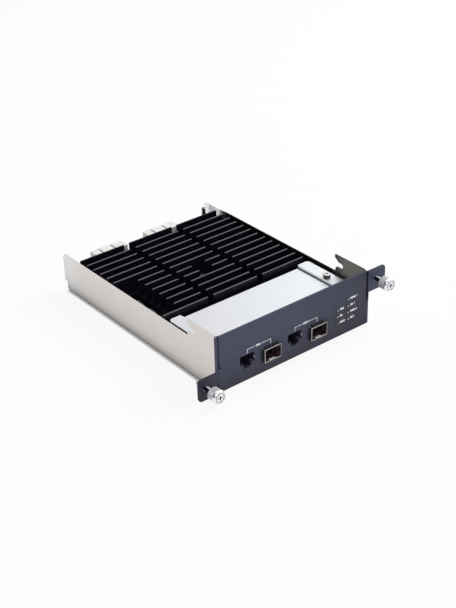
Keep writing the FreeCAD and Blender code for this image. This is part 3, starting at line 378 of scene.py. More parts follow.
class Shader(Nodes):
    """A material under construction, with its textures and tones."""

    def __init__(self, name):
        self.material = bpy.data.materials.new(name)
        self.material.use_nodes = True
        super().__init__(self.material.node_tree, "Object")
        self.surface = self.tree.nodes["Principled BSDF"]

    def finish(self, **sockets):
        """Sets the surface's inputs and hands the material over."""
        self.feed(self.surface, **sockets)
        return self.material

    def noise(self, scale, stretch=(1, 1, 1), detail=3.0):
        """Noise of so many features per metre, stretched along the axes."""
        mapping = self.feed(self.add("ShaderNodeMapping"), Vector=self.place, Scale=stretch)
        texture = self.add("ShaderNodeTexNoise")
        self.feed(texture, Vector=mapping.outputs["Vector"], Scale=scale, Detail=detail)
        return texture.outputs["Fac"]

    def ramp(self, value, *stops):
        """Colour ramp through (position, colour) stops."""
        node = self.feed(self.add("ShaderNodeValToRGB"), Fac=value)
        ramp = node.color_ramp
        while len(ramp.elements) < len(stops):
            ramp.elements.new(1.0)
        for element, (position, colour) in zip(ramp.elements, stops):
            element.position = position
            element.color = (*colour, 1.0)
        return node.outputs["Color"]

    def greys(self, value, stops):
        """Grey ramp through (position, level) stops."""
        return self.ramp(value, *[(position, (level,) * 3) for position, level in stops])

    def pair(self, noise, first, second):
        """Colour that a noise varies between two."""
        return self.ramp(noise, (NOISE_LOW, first), (NOISE_HIGH, second))

    def shade(self, noise, colour, darkest, palest):
        """Colour that a noise makes a little darker and paler."""
        return self.pair(noise, tint(colour, darkest), tint(colour, palest))

    def vary(self, noise, low, high):
        """Level that a noise varies between two."""
        return self.span(noise, NOISE_LOW, NOISE_HIGH, low, high)

    def mix(self, factor, first, second, blend="MIX"):
        """Blend of two colours."""
        node = self.add("ShaderNodeMix", data_type="RGBA", blend_type=blend)
        self.put(node.inputs["Factor"], factor)
        self.put(node.inputs[MIX_FIRST], first)
        self.put(node.inputs[MIX_SECOND], second)
        return node.outputs[MIX_RESULT]

    def bump(self, height, distance):
        """Normal of a relief so many millimetres deep."""
        node = self.feed(self.add("ShaderNodeBump"), Height=height, Distance=distance * MM, Strength=1.0)
        return node.outputs["Normal"]


def sheet_tone(shader, colour, grain):
    """Fine grain in the rolling direction and a faint blotchy tone."""
    fine = shader.noise(1.0, stretch=grain, detail=4.0)
    blotch = shader.noise(45.0, detail=2.0)
    tone = shader.shade(fine, colour, 0.975, 1.02)
    return fine, shader.mix(shader.vary(blotch, 0.0, 0.35), tone, tint(colour, 0.95))


def tray_sheet():
    """Bare sheet: painted shade towards its lower folds, cooler at the rear, and painted shade inside its
    right wall that turns to painted light at its rear end.
    """
    shader = Shader("bare_sheet")
    low, high = node_box("tray")
    across = shader.axis("X")
    along = shader.axis("Y")
    height = shader.axis("Z")
    reach = shader.math("ABSOLUTE", across)
    fine, tone = sheet_tone(shader, (0.70, 0.658, 0.634), TRAY_GRAIN)
    wall = shader.above(reach, high.x - NEAR)
    fold = shader.both(shader.above(reach, high.x - TRAY_FOLD), shader.below(height, low.z + TRAY_FOLD))
    cool = shader.span(along, *band(high.y, TRAY_COOL_END))
    tone = shader.mix(shader.both(wall, cool), tone, (0.72, 0.715, 0.715))
    # Painted shade: the outer walls and the lower fold darker towards the bottom
    rise = shader.span(height, low.z, low.z + TRAY_SHADE_RISE)
    painted_shade = shader.both(shader.math("MAXIMUM", wall, fold), shader.greys(rise, TRAY_PAINTED_SHADE))
    tone = shader.mix(painted_shade, tone, (0.05, 0.044, 0.04))
    # Painted shade inside the right wall, near black on its inner face at the front, and painted light that
    # turns it white towards the rear end
    inside = shader.between(across, high.x - SHEET - CLOSE, high.x - CLOSE)
    face = shader.below(across, high.x - SHEET + CLOSE)
    hook = shader.span(along, *band(low.y, TRAY_HOOK_SHADE), 1.0, 0.0)
    dark = shader.mix(shader.both(hook, face), (0.05, 0.05, 0.05), (0.52, 0.49, 0.445))
    bright = shader.span(along, *band(high.y, TRAY_PAINTED_LIGHT_END))
    tone = shader.mix(inside, tone, shader.mix(bright, dark, WHITE))
    return shader.finish(
        Base_Color=tone,
        Metallic=1.0,
        Roughness=shader.math("ADD", shader.vary(fine, 0.20, 0.28), shader.select(inside, 0.0, 0.28)),
        Normal=shader.bump(fine, 0.0012),
    )


def cover_sheet():
    """Bright folded sheet, warmer to the left, with a painted shadow line along its folds and a duller
    brow.
    """
    shader = Shader("cover_sheet")
    low, high = node_box("cover_plate")
    height = shader.axis("Z")
    fine, tone = sheet_tone(shader, (0.83, 0.85, 0.88), COVER_GRAIN)
    across = shader.span(shader.axis("X"), low.x, low.x + COVER_WARMTH)
    warm = shader.mix(across, (0.86, 0.835, 0.82), WHITE)
    tone = shader.mix(1.0, tone, warm, "MULTIPLY")
    # Painted shadow: a dark line along the folds
    line = shader.between(height, *band(high.z, COVER_SHADOW_LINE))
    brow = shader.between(height, *band(high.z, COVER_BROW))
    return shader.finish(
        Base_Color=shader.mix(line, tone, (0.36, 0.37, 0.38)),
        Metallic=shader.select(brow, 1.0, 0.25),
        Roughness=shader.vary(fine, 0.35, 0.46),
        Normal=shader.bump(fine, 0.0012),
    )


def pair_place(shader, node):
    """Distance across from the middle of a node, the same for its first and second copy, and its box."""
    low, high = node_box(f"{node}_1")
    pitch = node_box(f"{node}_2")[0].x - low.x
    across = shader.axis("X")
    second = shader.above(across, (low.x + high.x + pitch) / 2)
    local = shader.math("SUBTRACT", across, shader.select(second, 0.0, pitch))
    return shader.math("SUBTRACT", local, (low.x + high.x) / 2), low, high


def panel_painted_shade(shader, across, height):
    """Brightness of the panel, as painted shade: less to the right, the foot and the left ear, and little
    in the slits.
    """
    low, high = node_box("front_panel")
    reach = shader.math("ABSOLUTE", across)
    upper = shader.select(shader.above(across, UPPER_RIGHT), 0.0, 0.98)
    right = shader.math("MAXIMUM", shader.span(across, 0.0, high.x, 1.0, 0.65), upper)
    left = shader.span(across, low.x - EAR_SHADE, low.x, 0.65, 1.0)
    foot = shader.greys(shader.span(height, low.z, high.z), PANEL_SHADE_BY_HEIGHT)
    # Painted shade: near black in the slits and on the bend seen through them
    slit_end = node_box("tray")[1].x + CLOSE
    gap = shader.between(reach, slit_end - SLIT_WIDTH, slit_end)
    slit = shader.both(gap, shader.above(height, SLIT_FOOT))
    behind = shader.above(shader.axis("Y"), low.y + BEND_DEPTH)
    bend = shader.both(shader.between(across, *band(slit_end, SLIT_BEND)), behind)
    dark = shader.select(shader.math("MAXIMUM", slit, bend), 1.0, 0.05)
    return shader.both(right, left, foot, dark)


def powder_coat():
    """Satin slate powder coat with a fine orange-peel skin, painted shade, and painted glints in the jacks'
    windows.
    """
    shader = Shader("panel_paint")
    across = shader.axis("X")
    height = shader.axis("Z")
    peel = shader.noise(2600.0, detail=2.0)
    speck = shader.noise(9000.0, detail=1.0)
    colour = (0.062, 0.0655, 0.1095)
    tone = shader.ramp(speck, (0.35, tint(colour, 0.90)), (0.65, tint(colour, 1.12)))
    tone = shader.mix(1.0, tone, panel_painted_shade(shader, across, height), "MULTIPLY")
    local = pair_place(shader, "copper_jack")[0]
    # Painted glints: pale spots on the side of each window and on its sill
    window = JACK_MOUTH / 2 + WINDOW_GAP
    side = shader.both(
        shader.between(local, window - NEAR, window + NEAR),
        shader.between(height, *WINDOW_GLINT),
    )
    sill_glint = shader.both(shader.between(local, *SILL_GLINT), shader.between(height, *SILL_GLINT_HEIGHT))
    tone = shader.mix(side, tone, (0.58, 0.58, 0.63))
    return shader.finish(
        Base_Color=shader.mix(sill_glint, tone, (0.28, 0.28, 0.32)),
        Roughness=shader.vary(peel, 0.40, 0.52),
        Specular_IOR_Level=0.25,
        Normal=shader.bump(peel, 0.012),
    )


def turned_metal(name, colour, roughness):
    """Plated turned metal with fine tool marks round the axis."""
    shader = Shader(name)
    marks = shader.noise(1.0, stretch=TOOL_MARKS)
    stain = shader.noise(900.0, detail=2.0)
    return shader.finish(
        Base_Color=shader.shade(stain, colour, 0.94, 1.03),
        Metallic=1.0,
        Roughness=shader.vary(marks, roughness - 0.05, roughness + 0.08),
        Normal=shader.bump(marks, 0.008),
    )


def knob_metal(side):
    """Plated thumbscrew: painted shade in its cross, ring and neck, bright rim, and a shank painted dark as
    a reflection, with one painted highlight streak.
    """
    shader = Shader(f"knob_{side}")
    low, high = node_box(f"thumbscrew_{side}")
    middle = (low + high) / 2
    depth = shader.math("SUBTRACT", shader.axis("Y"), low.y)
    sideways = shader.math("SUBTRACT", shader.axis("X"), middle.x)
    upwards = shader.math("SUBTRACT", shader.axis("Z"), middle.z)
    reach = shader.length(sideways, upwards)
    marks = shader.noise(1.0, stretch=TOOL_MARKS)
    # Painted shade in the cross slot, in the ring's groove, and in the neck and the flute bottoms
    cross = shader.both(shader.below(reach, CROSS_SHADE_REACH), shader.between(depth, *CROSS_SHADE_BAND))
    groove = shader.between(reach, RING_INNER - RING_LIP, RING_OUTER + RING_LIP)
    ring_shade = shader.both(groove, shader.between(depth, *RING_SHADE_BAND))
    neck_shade = shader.both(shader.below(reach, KNOB_GRIP - NECK_INSET), shader.between(depth, *NECK_SHADE_BAND))
    grip = shader.between(depth, RIM_END - NEAR, KNOB_END + CLOSE)
    # Painted reflection: the shank dark, with one painted highlight streak along its upper side
    shank = shader.between(depth, KNOB_END + CLOSE, GROOVE_START)
    highlight_streak = shader.both(shank, shader.between(sideways, *HIGHLIGHT_WIDTH), shader.above(upwards, HIGHLIGHT_FOOT))
    tone = shader.pair(marks, (0.84, 0.845, 0.86), (0.92, 0.925, 0.94))
    tone = shader.mix(cross, tone, (0.020, 0.020, 0.022))
    tone = shader.mix(ring_shade, tone, (0.55, 0.56, 0.58))
    tone = shader.mix(neck_shade, tone, (0.74, 0.75, 0.78))
    tone = shader.mix(shank, tone, (0.07, 0.07, 0.085))
    return shader.finish(
        Base_Color=shader.mix(highlight_streak, tone, (0.95, 0.95, 0.97)),
        Metallic=shader.both(shader.select(grip, 1.0, 0.6), shader.select(highlight_streak, 1.0, 0.2)),
        Roughness=shader.vary(marks, 0.22, 0.34),
        Normal=shader.bump(marks, 0.0015),
    )


def hex_head(name, node, top_tone, side_tone):
    """Machine screws: a paler top and darker flanks."""
    shader = Shader(name)
    high = node_box(node)[1]
    stain = shader.noise(1200.0, detail=2.0)
    top = shader.above(shader.axis("Z"), high.z - HEAD_TOP)
    bright = shader.shade(stain, top_tone, 0.94, 1.04)
    dark = shader.shade(stain, side_tone, 0.85, 1.1)
    return shader.finish(
        Base_Color=shader.mix(top, dark, bright),
        Metallic=1.0,
        Roughness=shader.vary(stain, 0.14, 0.24),
    )


def black_anodised():
    """Black anodised comb with a painted highlight along the front of its fin tips, except on its last fin,
    and a faint one on its first face.
    """
    shader = Shader("black_anodised")
    low, high = node_box("heatsink")
    along = shader.axis("Y")
    height = shader.axis("Z")
    drawn = shader.noise(1.0, stretch=HEATSINK_GRAIN)
    # Painted highlight: the front of each fin tip, except the last fin's, and faintly the top of the first
    # face
    tip = shader.span(height, *band(high.z, FIN_TIP))
    before_last = shader.span(along, *band(high.y, LAST_FIN), 1.0, 0.0)
    place = shader.math("MODULO", shader.math("SUBTRACT", along, low.y - CLOSE), FIN_PITCH)
    edge = shader.span(place, *FIN_EDGE, 1.0, 0.0)
    first = shader.below(along, low.y + NEAR)
    face = shader.both(first, shader.span(height, high.z - FIRST_FACE, high.z, 0.0, 0.22))
    fin_highlight = shader.math("MAXIMUM", face, shader.both(tip, before_last, edge))
    painted_highlight = shader.both(fin_highlight, shader.vary(drawn, 0.7, 1.0))
    body = shader.pair(drawn, (0.0060, 0.0044, 0.0098), (0.0088, 0.0068, 0.0136))
    return shader.finish(
        Base_Color=shader.mix(painted_highlight, body, (0.165, 0.160, 0.175)),
        Roughness=shader.vary(drawn, 0.42, 0.52),
        Specular_IOR_Level=0.05,
        Normal=shader.bump(drawn, 0.006),
    )


def plastic(name, colour, roughness, grain=3200.0):
    """Moulded plastic with a fine eroded grain."""
    shader = Shader(name)
    skin = shader.noise(grain, detail=2.0)
    cloud = shader.noise(160.0, detail=2.0)
    return shader.finish(
        Base_Color=shader.shade(cloud, colour, 0.92, 1.06),
        Roughness=shader.vary(skin, roughness - 0.05, roughness + 0.07),
        Normal=shader.bump(skin, 0.008),
    )


def connector_plastic():
    """Pale moulded plastic with shaded keyways between its blocks."""
    shader = Shader("pale_plastic")
    local, low, high = pair_place(shader, "rear_connector")
    left = (low.x - high.x) / 2
    cloud = shader.noise(160.0, detail=2.0)
    skin = shader.noise(2200.0, detail=2.0)
    tone = shader.pair(cloud, (0.76, 0.78, 0.74), (0.84, 0.86, 0.82))
    reach = (-KEYWAY_SLACK, KEYWAY + KEYWAY_SLACK)
    slots = [shader.between(local, *band(left + start, reach)) for start in KEYWAY_STARTS]
    slot = shader.both(shader.math("ADD", *slots), shader.below(shader.axis("Z"), high.z - CLOSE))
    return shader.finish(
        Base_Color=shader.mix(slot, tone, (0.16, 0.17, 0.165)),
        Roughness=shader.vary(skin, 0.37, 0.49),
        Normal=shader.bump(skin, 0.008),
    )


def cage_metal():
    """Tinned sheet: rim with a painted highlight, tongue with a painted white highlight on its crest and
    painted shade on its lip, paler outside, bay in painted shade, brown and specked.
    """
    shader = Shader("cage_metal")
    local, low, high = pair_place(shader, "transceiver_cage")
    side = shader.math("ABSOLUTE", local)
    depth = shader.axis("Y")
    height = shader.axis("Z")
    half = (high.x - low.x) / 2
    front = low.y + CAGE_TONGUE
    fine = shader.noise(1.0, stretch=CAGE_GRAIN)
    speck = shader.noise(520.0, detail=4.0)
    # Painted highlight on the rim, darker on its right side as painted shade
    rim_highlight = shader.pair(fine, (0.58, 0.53, 0.53), (0.70, 0.65, 0.65))
    rim_highlight = shader.mix(shader.above(local, half - CAGE_RIGHT_RIM), rim_highlight, (0.30, 0.28, 0.29))
    # Painted shade in the bay, brown-black with paler specks
    bay_shade = shader.ramp(
        speck,
        (0.42, (0.022, 0.014, 0.019)),
        (0.54, (0.048, 0.029, 0.035)),
        (0.66, (0.22, 0.16, 0.15)),
    )
    flank = shader.above(side, half - CAGE_SKIN)
    roof = shader.above(height, high.z - CAGE_SKIN)
    outside = shader.math("MAXIMUM", flank, roof)
    behind = shader.span(depth, *band(front, CAGE_RIM))
    tone = shader.mix(behind, rim_highlight, shader.mix(outside, bay_shade, (0.42, 0.41, 0.41)))
    # Painted highlight on the tongue's crest and painted shade on its lip
    tongue = shader.both(shader.below(side, TONGUE_HALF), shader.below(height, low.z + TONGUE_RISE))
    crest_highlight = shader.both(tongue, shader.between(depth, *band(front, TONGUE_CREST)))
    lip_shade = shader.both(tongue, shader.below(depth, front + TONGUE_CREST[0]))
    tone = shader.mix(crest_highlight, tone, WHITE)
    return shader.finish(
        Base_Color=shader.mix(lip_shade, tone, (0.11, 0.11, 0.125)),
        Metallic=shader.both(behind, outside, 0.7),
        Roughness=shader.vary(fine, 0.30, 0.42),
    )


def collar_metal():
    """Spring sheet painted dark as the reflection of the dark panel, with a faint burnish."""
    shader = Shader("collar_metal")
    fine = shader.noise(2200.0, detail=2.0)
    # Painted reflection: a dark tone in place of the panel seen in the fingers
    tone = shader.ramp(fine, (0.35, (0.030, 0.031, 0.030)), (0.7, (0.10, 0.105, 0.10)))
    return shader.finish(Base_Color=tone, Metallic=0.7, Roughness=shader.vary(fine, 0.22, 0.36))


def jack_plastic():
    """Black housing with a painted highlight on the ledge beside the latch slot."""
    shader = Shader("jack_plastic")
    local, low = pair_place(shader, "copper_jack")[:2]
    skin = shader.noise(2600.0, detail=2.0)
    tone = shader.pair(skin, (0.021, 0.018, 0.036), (0.034, 0.030, 0.054))
    # Painted highlight along the ledge
    ledge = low.z + JACK_LEDGE
    painted_highlight = shader.both(
        shader.between(shader.axis("Z"), ledge - CLOSE, ledge + CLOSE),
        shader.between(local, *band(JACK_MOUTH / 2, LEDGE_GLINT)),
        shader.between(shader.axis("Y"), low.y, low.y + LEDGE_DEPTH),
    )
    return shader.finish(
        Base_Color=shader.mix(painted_highlight, tone, (0.16, 0.16, 0.19)),
        Roughness=shader.vary(skin, 0.32, 0.44),
    )


def solder_mask():
    """Green board: mask over raised traces, with an uneven gloss."""
    shader = Shader("board")
    traces = shader.add("ShaderNodeTexBrick", offset=0.37, squash=1.6, squash_frequency=3)
    shader.feed(
        traces,
        Vector=shader.place,
        Scale=160.0,
        Color1=(0.010, 0.052, 0.026),
        Color2=(0.013, 0.064, 0.032),
        Mortar=(0.022, 0.098, 0.047),
        Mortar_Size=0.03,
    )
    weave = shader.noise(1800.0, detail=2.0)
    return shader.finish(
        Base_Color=traces.outputs["Color"],
        Roughness=shader.vary(weave, 0.28, 0.40),
        Normal=shader.bump(traces.outputs["Fac"], 0.02),
    )


def lens(name, core, colour):
    """Unlit resin with a painted highlight as its paler core and painted shade at its dark rim."""
    shader = Shader(name)
    cloud = shader.noise(900.0, detail=2.0)
    share = shader.add("ShaderNodeTexCoord").outputs["Generated"]
    off = [shader.math("SUBTRACT", shader.component(share, axis), 0.5) for axis in ("X", "Z")]
    # Painted highlight at the core and painted shade at the rim
    tone = shader.ramp(
        shader.length(*off),
        (0.08, core),
        (0.26, tint(colour, 0.55)),
        (0.42, tint(colour, 0.05)),
    )
    return shader.finish(Base_Color=tone, Roughness=shader.vary(cloud, 0.12, 0.22))


def print_ink():
    """White screen print, slightly uneven."""
    shader = Shader("print_ink")
    cover = shader.noise(5000.0, detail=2.0)
    tone = shader.pair(cover, (0.93, 0.94, 0.96), WHITE)
    return shader.finish(Base_Color=tone, Roughness=shader.vary(cover, 0.5, 0.65))


MATERIALS = {
    "bare_sheet": tray_sheet(),
    "cover_sheet": cover_sheet(),
    "panel_paint": powder_coat(),
    "nickel": turned_metal("nickel", (0.82, 0.82, 0.83), 0.20),
    "knob_left": knob_metal("left"),
    "knob_right": knob_metal("right"),
    "cover_screw": hex_head("cover_screw", "cover_screws", (0.90, 0.89, 0.87), (0.20, 0.19, 0.18)),
    "well_screw": hex_head("well_screw", "spring_screw", (0.22, 0.21, 0.22), (0.08, 0.08, 0.085)),
    "steel_hardware": turned_metal("steel_hardware", (0.66, 0.66, 0.64), 0.30),
    "cage_metal": cage_metal(),
    "collar_metal": collar_metal(),
    "jack_plastic": jack_plastic(),
    "black_anodised": black_anodised(),
    "board": solder_mask(),
    "black_plastic": plastic("black_plastic", (0.013, 0.013, 0.015), 0.42),
    "gold_contact": turned_metal("gold_contact", (0.85, 0.62, 0.28), 0.25),
    "pale_plastic": connector_plastic(),
    "black_steel": turned_metal("black_steel", (0.22, 0.26, 0.25), 0.42),
    "pad_rubber": plastic("pad_rubber", (0.33, 0.37, 0.43), 0.7),
    "ferrite": plastic("ferrite", (0.075, 0.075, 0.08), 0.66, grain=1500.0),
    "can_aluminium": turned_metal("can_aluminium", (0.72, 0.72, 0.72), 0.28),
    # Lenses: the first colour is the painted highlight at the core, the second the tint that darkens to
    # painted shade at the rim
    "lens_green": lens("lens_green", (0.48, 0.55, 0.54), (0.14, 0.30, 0.27)),
    "lens_amber": lens("lens_amber", (0.59, 0.56, 0.51), (0.34, 0.28, 0.15)),
    "lens_red": lens("lens_red", (0.22, 0.15, 0.17), (0.20, 0.05, 0.06)),
    "print_ink": print_ink(),
}
SLOT_OF_NODE = {part["node"]: part["material_slot"] for part in frame["record"]["subparts"]}
SCENE_MATERIAL = {
    "cover_plate": "cover_sheet",
    "spring_collar_1": "collar_metal",
    "spring_collar_2": "collar_metal",
    "copper_jack_1": "jack_plastic",
    "copper_jack_2": "jack_plastic",
    "cover_screws": "cover_screw",
    "spring_screw": "well_screw",
}


def smooth_group():
    """Geometry nodes that shade faces smooth up to an edge angle."""
    group = bpy.data.node_groups.new("smooth_by_angle", "GeometryNodeTree")
    group.interface.new_socket("Geometry", in_out="INPUT", socket_type="NodeSocketGeometry")
    group.interface.new_socket("Geometry", in_out="OUTPUT", socket_type="NodeSocketGeometry")
    start = group.nodes.new("NodeGroupInput")
    end = group.nodes.new("NodeGroupOutput")
    faces = group.nodes.new("GeometryNodeSetShadeSmooth")
    edges = group.nodes.new("GeometryNodeSetShadeSmooth")
    edges.domain = "EDGE"
    edges.inputs["Shade Smooth"].default_value = False
    angle = group.nodes.new("GeometryNodeInputMeshEdgeAngle")
    sharp = group.nodes.new("FunctionNodeCompare")
    sharp.inputs["B"].default_value = math.radians(SMOOTH_ANGLE)
    group.links.new(angle.outputs["Unsigned Angle"], sharp.inputs["A"])
    group.links.new(start.outputs["Geometry"], faces.inputs["Geometry"])
    group.links.new(faces.outputs["Geometry"], edges.inputs["Geometry"])
    group.links.new(sharp.outputs["Result"], edges.inputs["Selection"])
    group.links.new(edges.outputs["Geometry"], end.inputs["Geometry"])
    return group


SMOOTH = smooth_group()


def soften(piece, edge=0.0):
    """Rounds a piece's sharp edges by so many millimetres and shades its curves smooth."""
    weld = piece.modifiers.new("weld", "WELD")
    weld.merge_threshold = WELD_REACH * MM
    if edge:
        flat = piece.modifiers.new("flat", "DECIMATE")
        flat.decimate_type = "DISSOLVE"
        flat.angle_limit = math.radians(FLAT_ANGLE)
        bevel = piece.modifiers.new("bevel", "BEVEL")
        bevel.width = edge * MM
        bevel.segments = BEVEL_SEGMENTS
        bevel.limit_method = "ANGLE"
        bevel.angle_limit = math.radians(BEVEL_ANGLE)
    smooth = piece.modifiers.new("smooth", "NODES")
    smooth.node_group = SMOOTH
    if edge:
        normals = piece.modifiers.new("normals", "WEIGHTED_NORMAL")
        normals.keep_sharp = True


def dress_nodes():
    """Gives every CAD node its material and softened edges."""
    for name, piece in nodes.items():
        slot = SLOT_OF_NODE[name]
        piece.data.materials.clear()
        piece.data.materials.append(MATERIALS[SCENE_MATERIAL.get(name, slot)])
        soften(piece, EDGE_OF_SLOT.get(slot, 0.0))


def new_piece(name, mesh, material, body="module"):
    """Puts a finished mesh, in metres, into the scene on its body."""
    piece = bpy.data.objects.new(name, mesh)
    bpy.context.scene.collection.objects.link(piece)
    mesh.materials.append(MATERIALS[material])
    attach(piece, body)
    return piece


def mesh_of(shape, name):
    """Turns a bmesh in millimetres into a mesh in metres."""
    bmesh.ops.recalc_face_normals(shape, faces=shape.faces)
    bmesh.ops.scale(shape, vec=(MM, MM, MM), verts=shape.verts)
    mesh = bpy.data.meshes.new(name)
    shape.to_mesh(mesh)
    shape.free()
    return mesh


def add_block(shape, low, high):
    """Adds a closed block between two corners."""
    size = Vector(high) - Vector(low)
    middle = (Vector(high) + Vector(low)) / 2
    verts = bmesh.ops.create_cube(shape, size=1.0)["verts"]
    bmesh.ops.scale(shape, vec=size, verts=verts)
    bmesh.ops.translate(shape, vec=middle, verts=verts)


def add_digit(shape, digit, x, z, front):
    """Draws a plain digit as upright and level strokes, from x and centred on z."""
    half = DIGIT_HEIGHT / 2
    stroke = DIGIT_STROKE
    strokes = {
        "a": (0, DIGIT_WIDTH, half - stroke, half),
        "b": (DIGIT_WIDTH - stroke, DIGIT_WIDTH, 0, half),
        "c": (DIGIT_WIDTH - stroke, DIGIT_WIDTH, -half, 0),
        "d": (0, DIGIT_WIDTH, -half, stroke - half),
        "e": (0, stroke, -half, 0),
        "g": (0, DIGIT_WIDTH, -stroke / 2, stroke / 2),
    }
    for key in SEGMENTS_OF_DIGIT[digit]:
        left, right, foot, top = strokes[key]
        add_block(shape, (x + left, front - PRINT_LIFT, z + foot), (x + right, front, z + top))


def add_ticks(shape, count, x, z, front):
    """Draws a row of plain marks from x, centred on z."""
    for step in range(count):
        left = x + step * TICK_PITCH
        low = (left, front - PRINT_LIFT, z - TICK_HEIGHT / 2)
        add_block(shape, low, (left + TICK_WIDTH, front, z + TICK_HEIGHT / 2))


def add_bracket(shape, port, front):
    """Draws the line that joins a jack and its cage, with marks and a number in its gap."""
    jack_low, jack_high = node_box(f"copper_jack_{port}")
    cage_low, cage_high = node_box(f"transceiver_cage_{port}")
    jack = (jack_low.x + jack_high.x) / 2
    cage = (cage_low.x + cage_high.x) / 2
    half = LINE_WIDTH / 2
    top = cage_high.z + BRACKET_RISE
    gap_left = (jack + cage - BRACKET_GAP) / 2
    gap_right = gap_left + BRACKET_GAP
    lifted = front - PRINT_LIFT
    for left, right in ((jack - half, gap_left), (gap_right, cage + half)):
        add_block(shape, (left, lifted, top - half), (right, front, top + half))
    feet = ((jack, jack_high.z + BRACKET_JACK_FOOT), (cage, cage_high.z + BRACKET_CAGE_FOOT))
    for x, foot in feet:
        add_block(shape, (x - half, lifted, foot), (x + half, front, top - half))
    add_ticks(shape, BRACKET_TICKS, gap_left + BRACKET_TICK_PLACE, top, front)
    add_digit(shape, port, gap_left + BRACKET_DIGIT_PLACE, top, front)


def add_label(shape, light, front):
    """Draws the marks and the number beside a status light."""
    low, high = node_box(f"status_light_{light}")
    ticks, digit = LIGHT_LABELS[light]
    x = high.x + LABEL_GAP
    z = (low.z + high.z) / 2
    add_ticks(shape, ticks, x, z, front)
    if digit:
        add_digit(shape, digit, x + ticks * TICK_PITCH + DIGIT_GAP, z, front)


def panel_print():
    """White print on the panel: lines, plain marks and numbers."""
    shape = bmesh.new()
    front = node_box("front_panel")[0].y
    for port in PORTS:
        add_bracket(shape, port, front)
    for light in LIGHTS:
        add_label(shape, light, front)
    new_piece("panel_print", mesh_of(shape, "panel_print"), "print_ink")


def slit_shade_block(side):
    """Dark block behind a slit of the panel, put there as painted shade so that the slit shows black."""
    high = node_box("front_panel")[1]
    left, right = SHADE_BLOCK_OF_SIDE[side]
    shape = bmesh.new()
    add_block(shape, (left, high.y + SHADE_BLOCK_GAP, SHADE_BLOCK_FOOT), (right, high.y + SHADE_BLOCK_DEPTH, high.z - SHADE_BLOCK_DROP))
    bmesh.ops.bevel(shape, geom=shape.edges[:], offset=SHADE_BLOCK_ROUNDING, segments=2, affect="EDGES")
    new_piece(f"slit_shade_block_{side}", mesh_of(shape, "slit_shade_block"), "black_plastic")


def lathe(rings, segments):
    """Closed turned bmesh round Y from (y, radius by angle) rings, capped at both ends."""
    shape = bmesh.new()
    rows = []
    for y, radius in rings:
        row = []
        for step in range(segments):
            angle = 2 * math.pi * step / segments
            reach = radius(angle)
            row.append(shape.verts.new((reach * math.cos(angle), y, reach * math.sin(angle))))
        rows.append(row)
    for lower, upper in zip(rows, rows[1:]):
        for step in range(segments):
            after = (step + 1) % segments
            shape.faces.new((lower[step], lower[after], upper[after], upper[step]))
    shape.faces.new(rows[0])
    shape.faces.new(rows[-1])
    return shape


def plain(radius):
    """The same radius at every angle."""
    return lambda angle: radius


def fluted(radius):
    """Radius of the knob's grip by angle."""
    def at(angle):
        pitch = 2 * math.pi / FLUTES
        off = abs((angle + pitch / 2) % pitch - pitch / 2)
        return radius - FLUTE_DEPTH * max(0.0, 1.0 - off / FLUTE_HALF_TURN)
    return at


def threaded(radius, y):
    """Radius of a helical thread by angle, at one place along the screw."""
    def at(angle):
        turn = (y / THREAD_PITCH + angle / (2 * math.pi)) % 1.0
        return radius - THREAD_DEPTH * min(1.0, THREAD_FLANK * abs(turn - 0.5))
    return at


def knob_rings():
    """Rings of the knob, from the face with its ring to the end of the fluted grip."""
    face = [
        (0.0, plain(RING_INNER - RING_FLARE)),
        (RING_LIP, plain(RING_INNER - RING_DRAFT)),
        (RING_DEPTH, plain(RING_INNER)),
        (RING_DEPTH, plain(RING_OUTER)),
        (RING_LIP, plain(RING_OUTER + RING_DRAFT)),
        (0.0, plain(RING_OUTER + RING_FLARE)),
    ]
    crown = [(depth, plain(KNOB_RIM - inset)) for depth, inset in CROWN]
    grip = [
        (RIM_END - EDGE_BREAK, plain(KNOB_RIM)),
        (RIM_END, plain(KNOB_RIM - EDGE_BREAK)),
        (RIM_END, plain(KNOB_NECK)),
        (GRIP_START, plain(KNOB_NECK)),
        (GRIP_START, fluted(KNOB_GRIP - EDGE_BREAK)),
        (GRIP_START + EDGE_BREAK, fluted(KNOB_GRIP)),
        (KNOB_END - GRIP_BREAK, fluted(KNOB_GRIP)),
        (KNOB_END, fluted(KNOB_GRIP - GRIP_BREAK)),
    ]
    return face + crown + grip


def shank_rings():
    """Rings of the plain shank with its groove for the clip, the helical thread and the tip."""
    core = plain(THREAD - THREAD_DEPTH)
    shank = [
        (KNOB_END, plain(SHANK + SHANK_FILLET)),
        (KNOB_END + SHANK_FILLET, plain(SHANK)),
        (GROOVE_START, plain(SHANK)),
        (GROOVE_START, plain(CLIP_GROOVE)),
        (GROOVE_END, plain(CLIP_GROOVE)),
        (GROOVE_END, core),
    ]
    rows = int((SCREW_END - THREAD_RUNOUT - GROOVE_END) / THREAD_PITCH * THREAD_ROWS)
    places = [GROOVE_END + row * THREAD_PITCH / THREAD_ROWS for row in range(1, rows + 1)]
    thread = [(y, threaded(THREAD, y)) for y in places]
    return shank + thread + [(SCREW_END - TIP_LENGTH, core), (SCREW_END, plain(TIP))]


def cut_box(piece, low, high):
    """Cuts a block out of a piece's mesh."""
    cutter_shape = bmesh.new()
    add_block(cutter_shape, low, high)
    cutter = bpy.data.objects.new("cutter", mesh_of(cutter_shape, "cutter"))
    bpy.context.scene.collection.objects.link(cutter)
    cut = piece.modifiers.new("cut", "BOOLEAN")
    cut.operation = "DIFFERENCE"
    cut.solver = "EXACT"
    cut.object = cutter
    graph = bpy.context.evaluated_depsgraph_get()
    mesh = bpy.data.meshes.new_from_object(piece.evaluated_get(graph))
    piece.modifiers.clear()
    piece.data = mesh
    bpy.data.objects.remove(cutter)


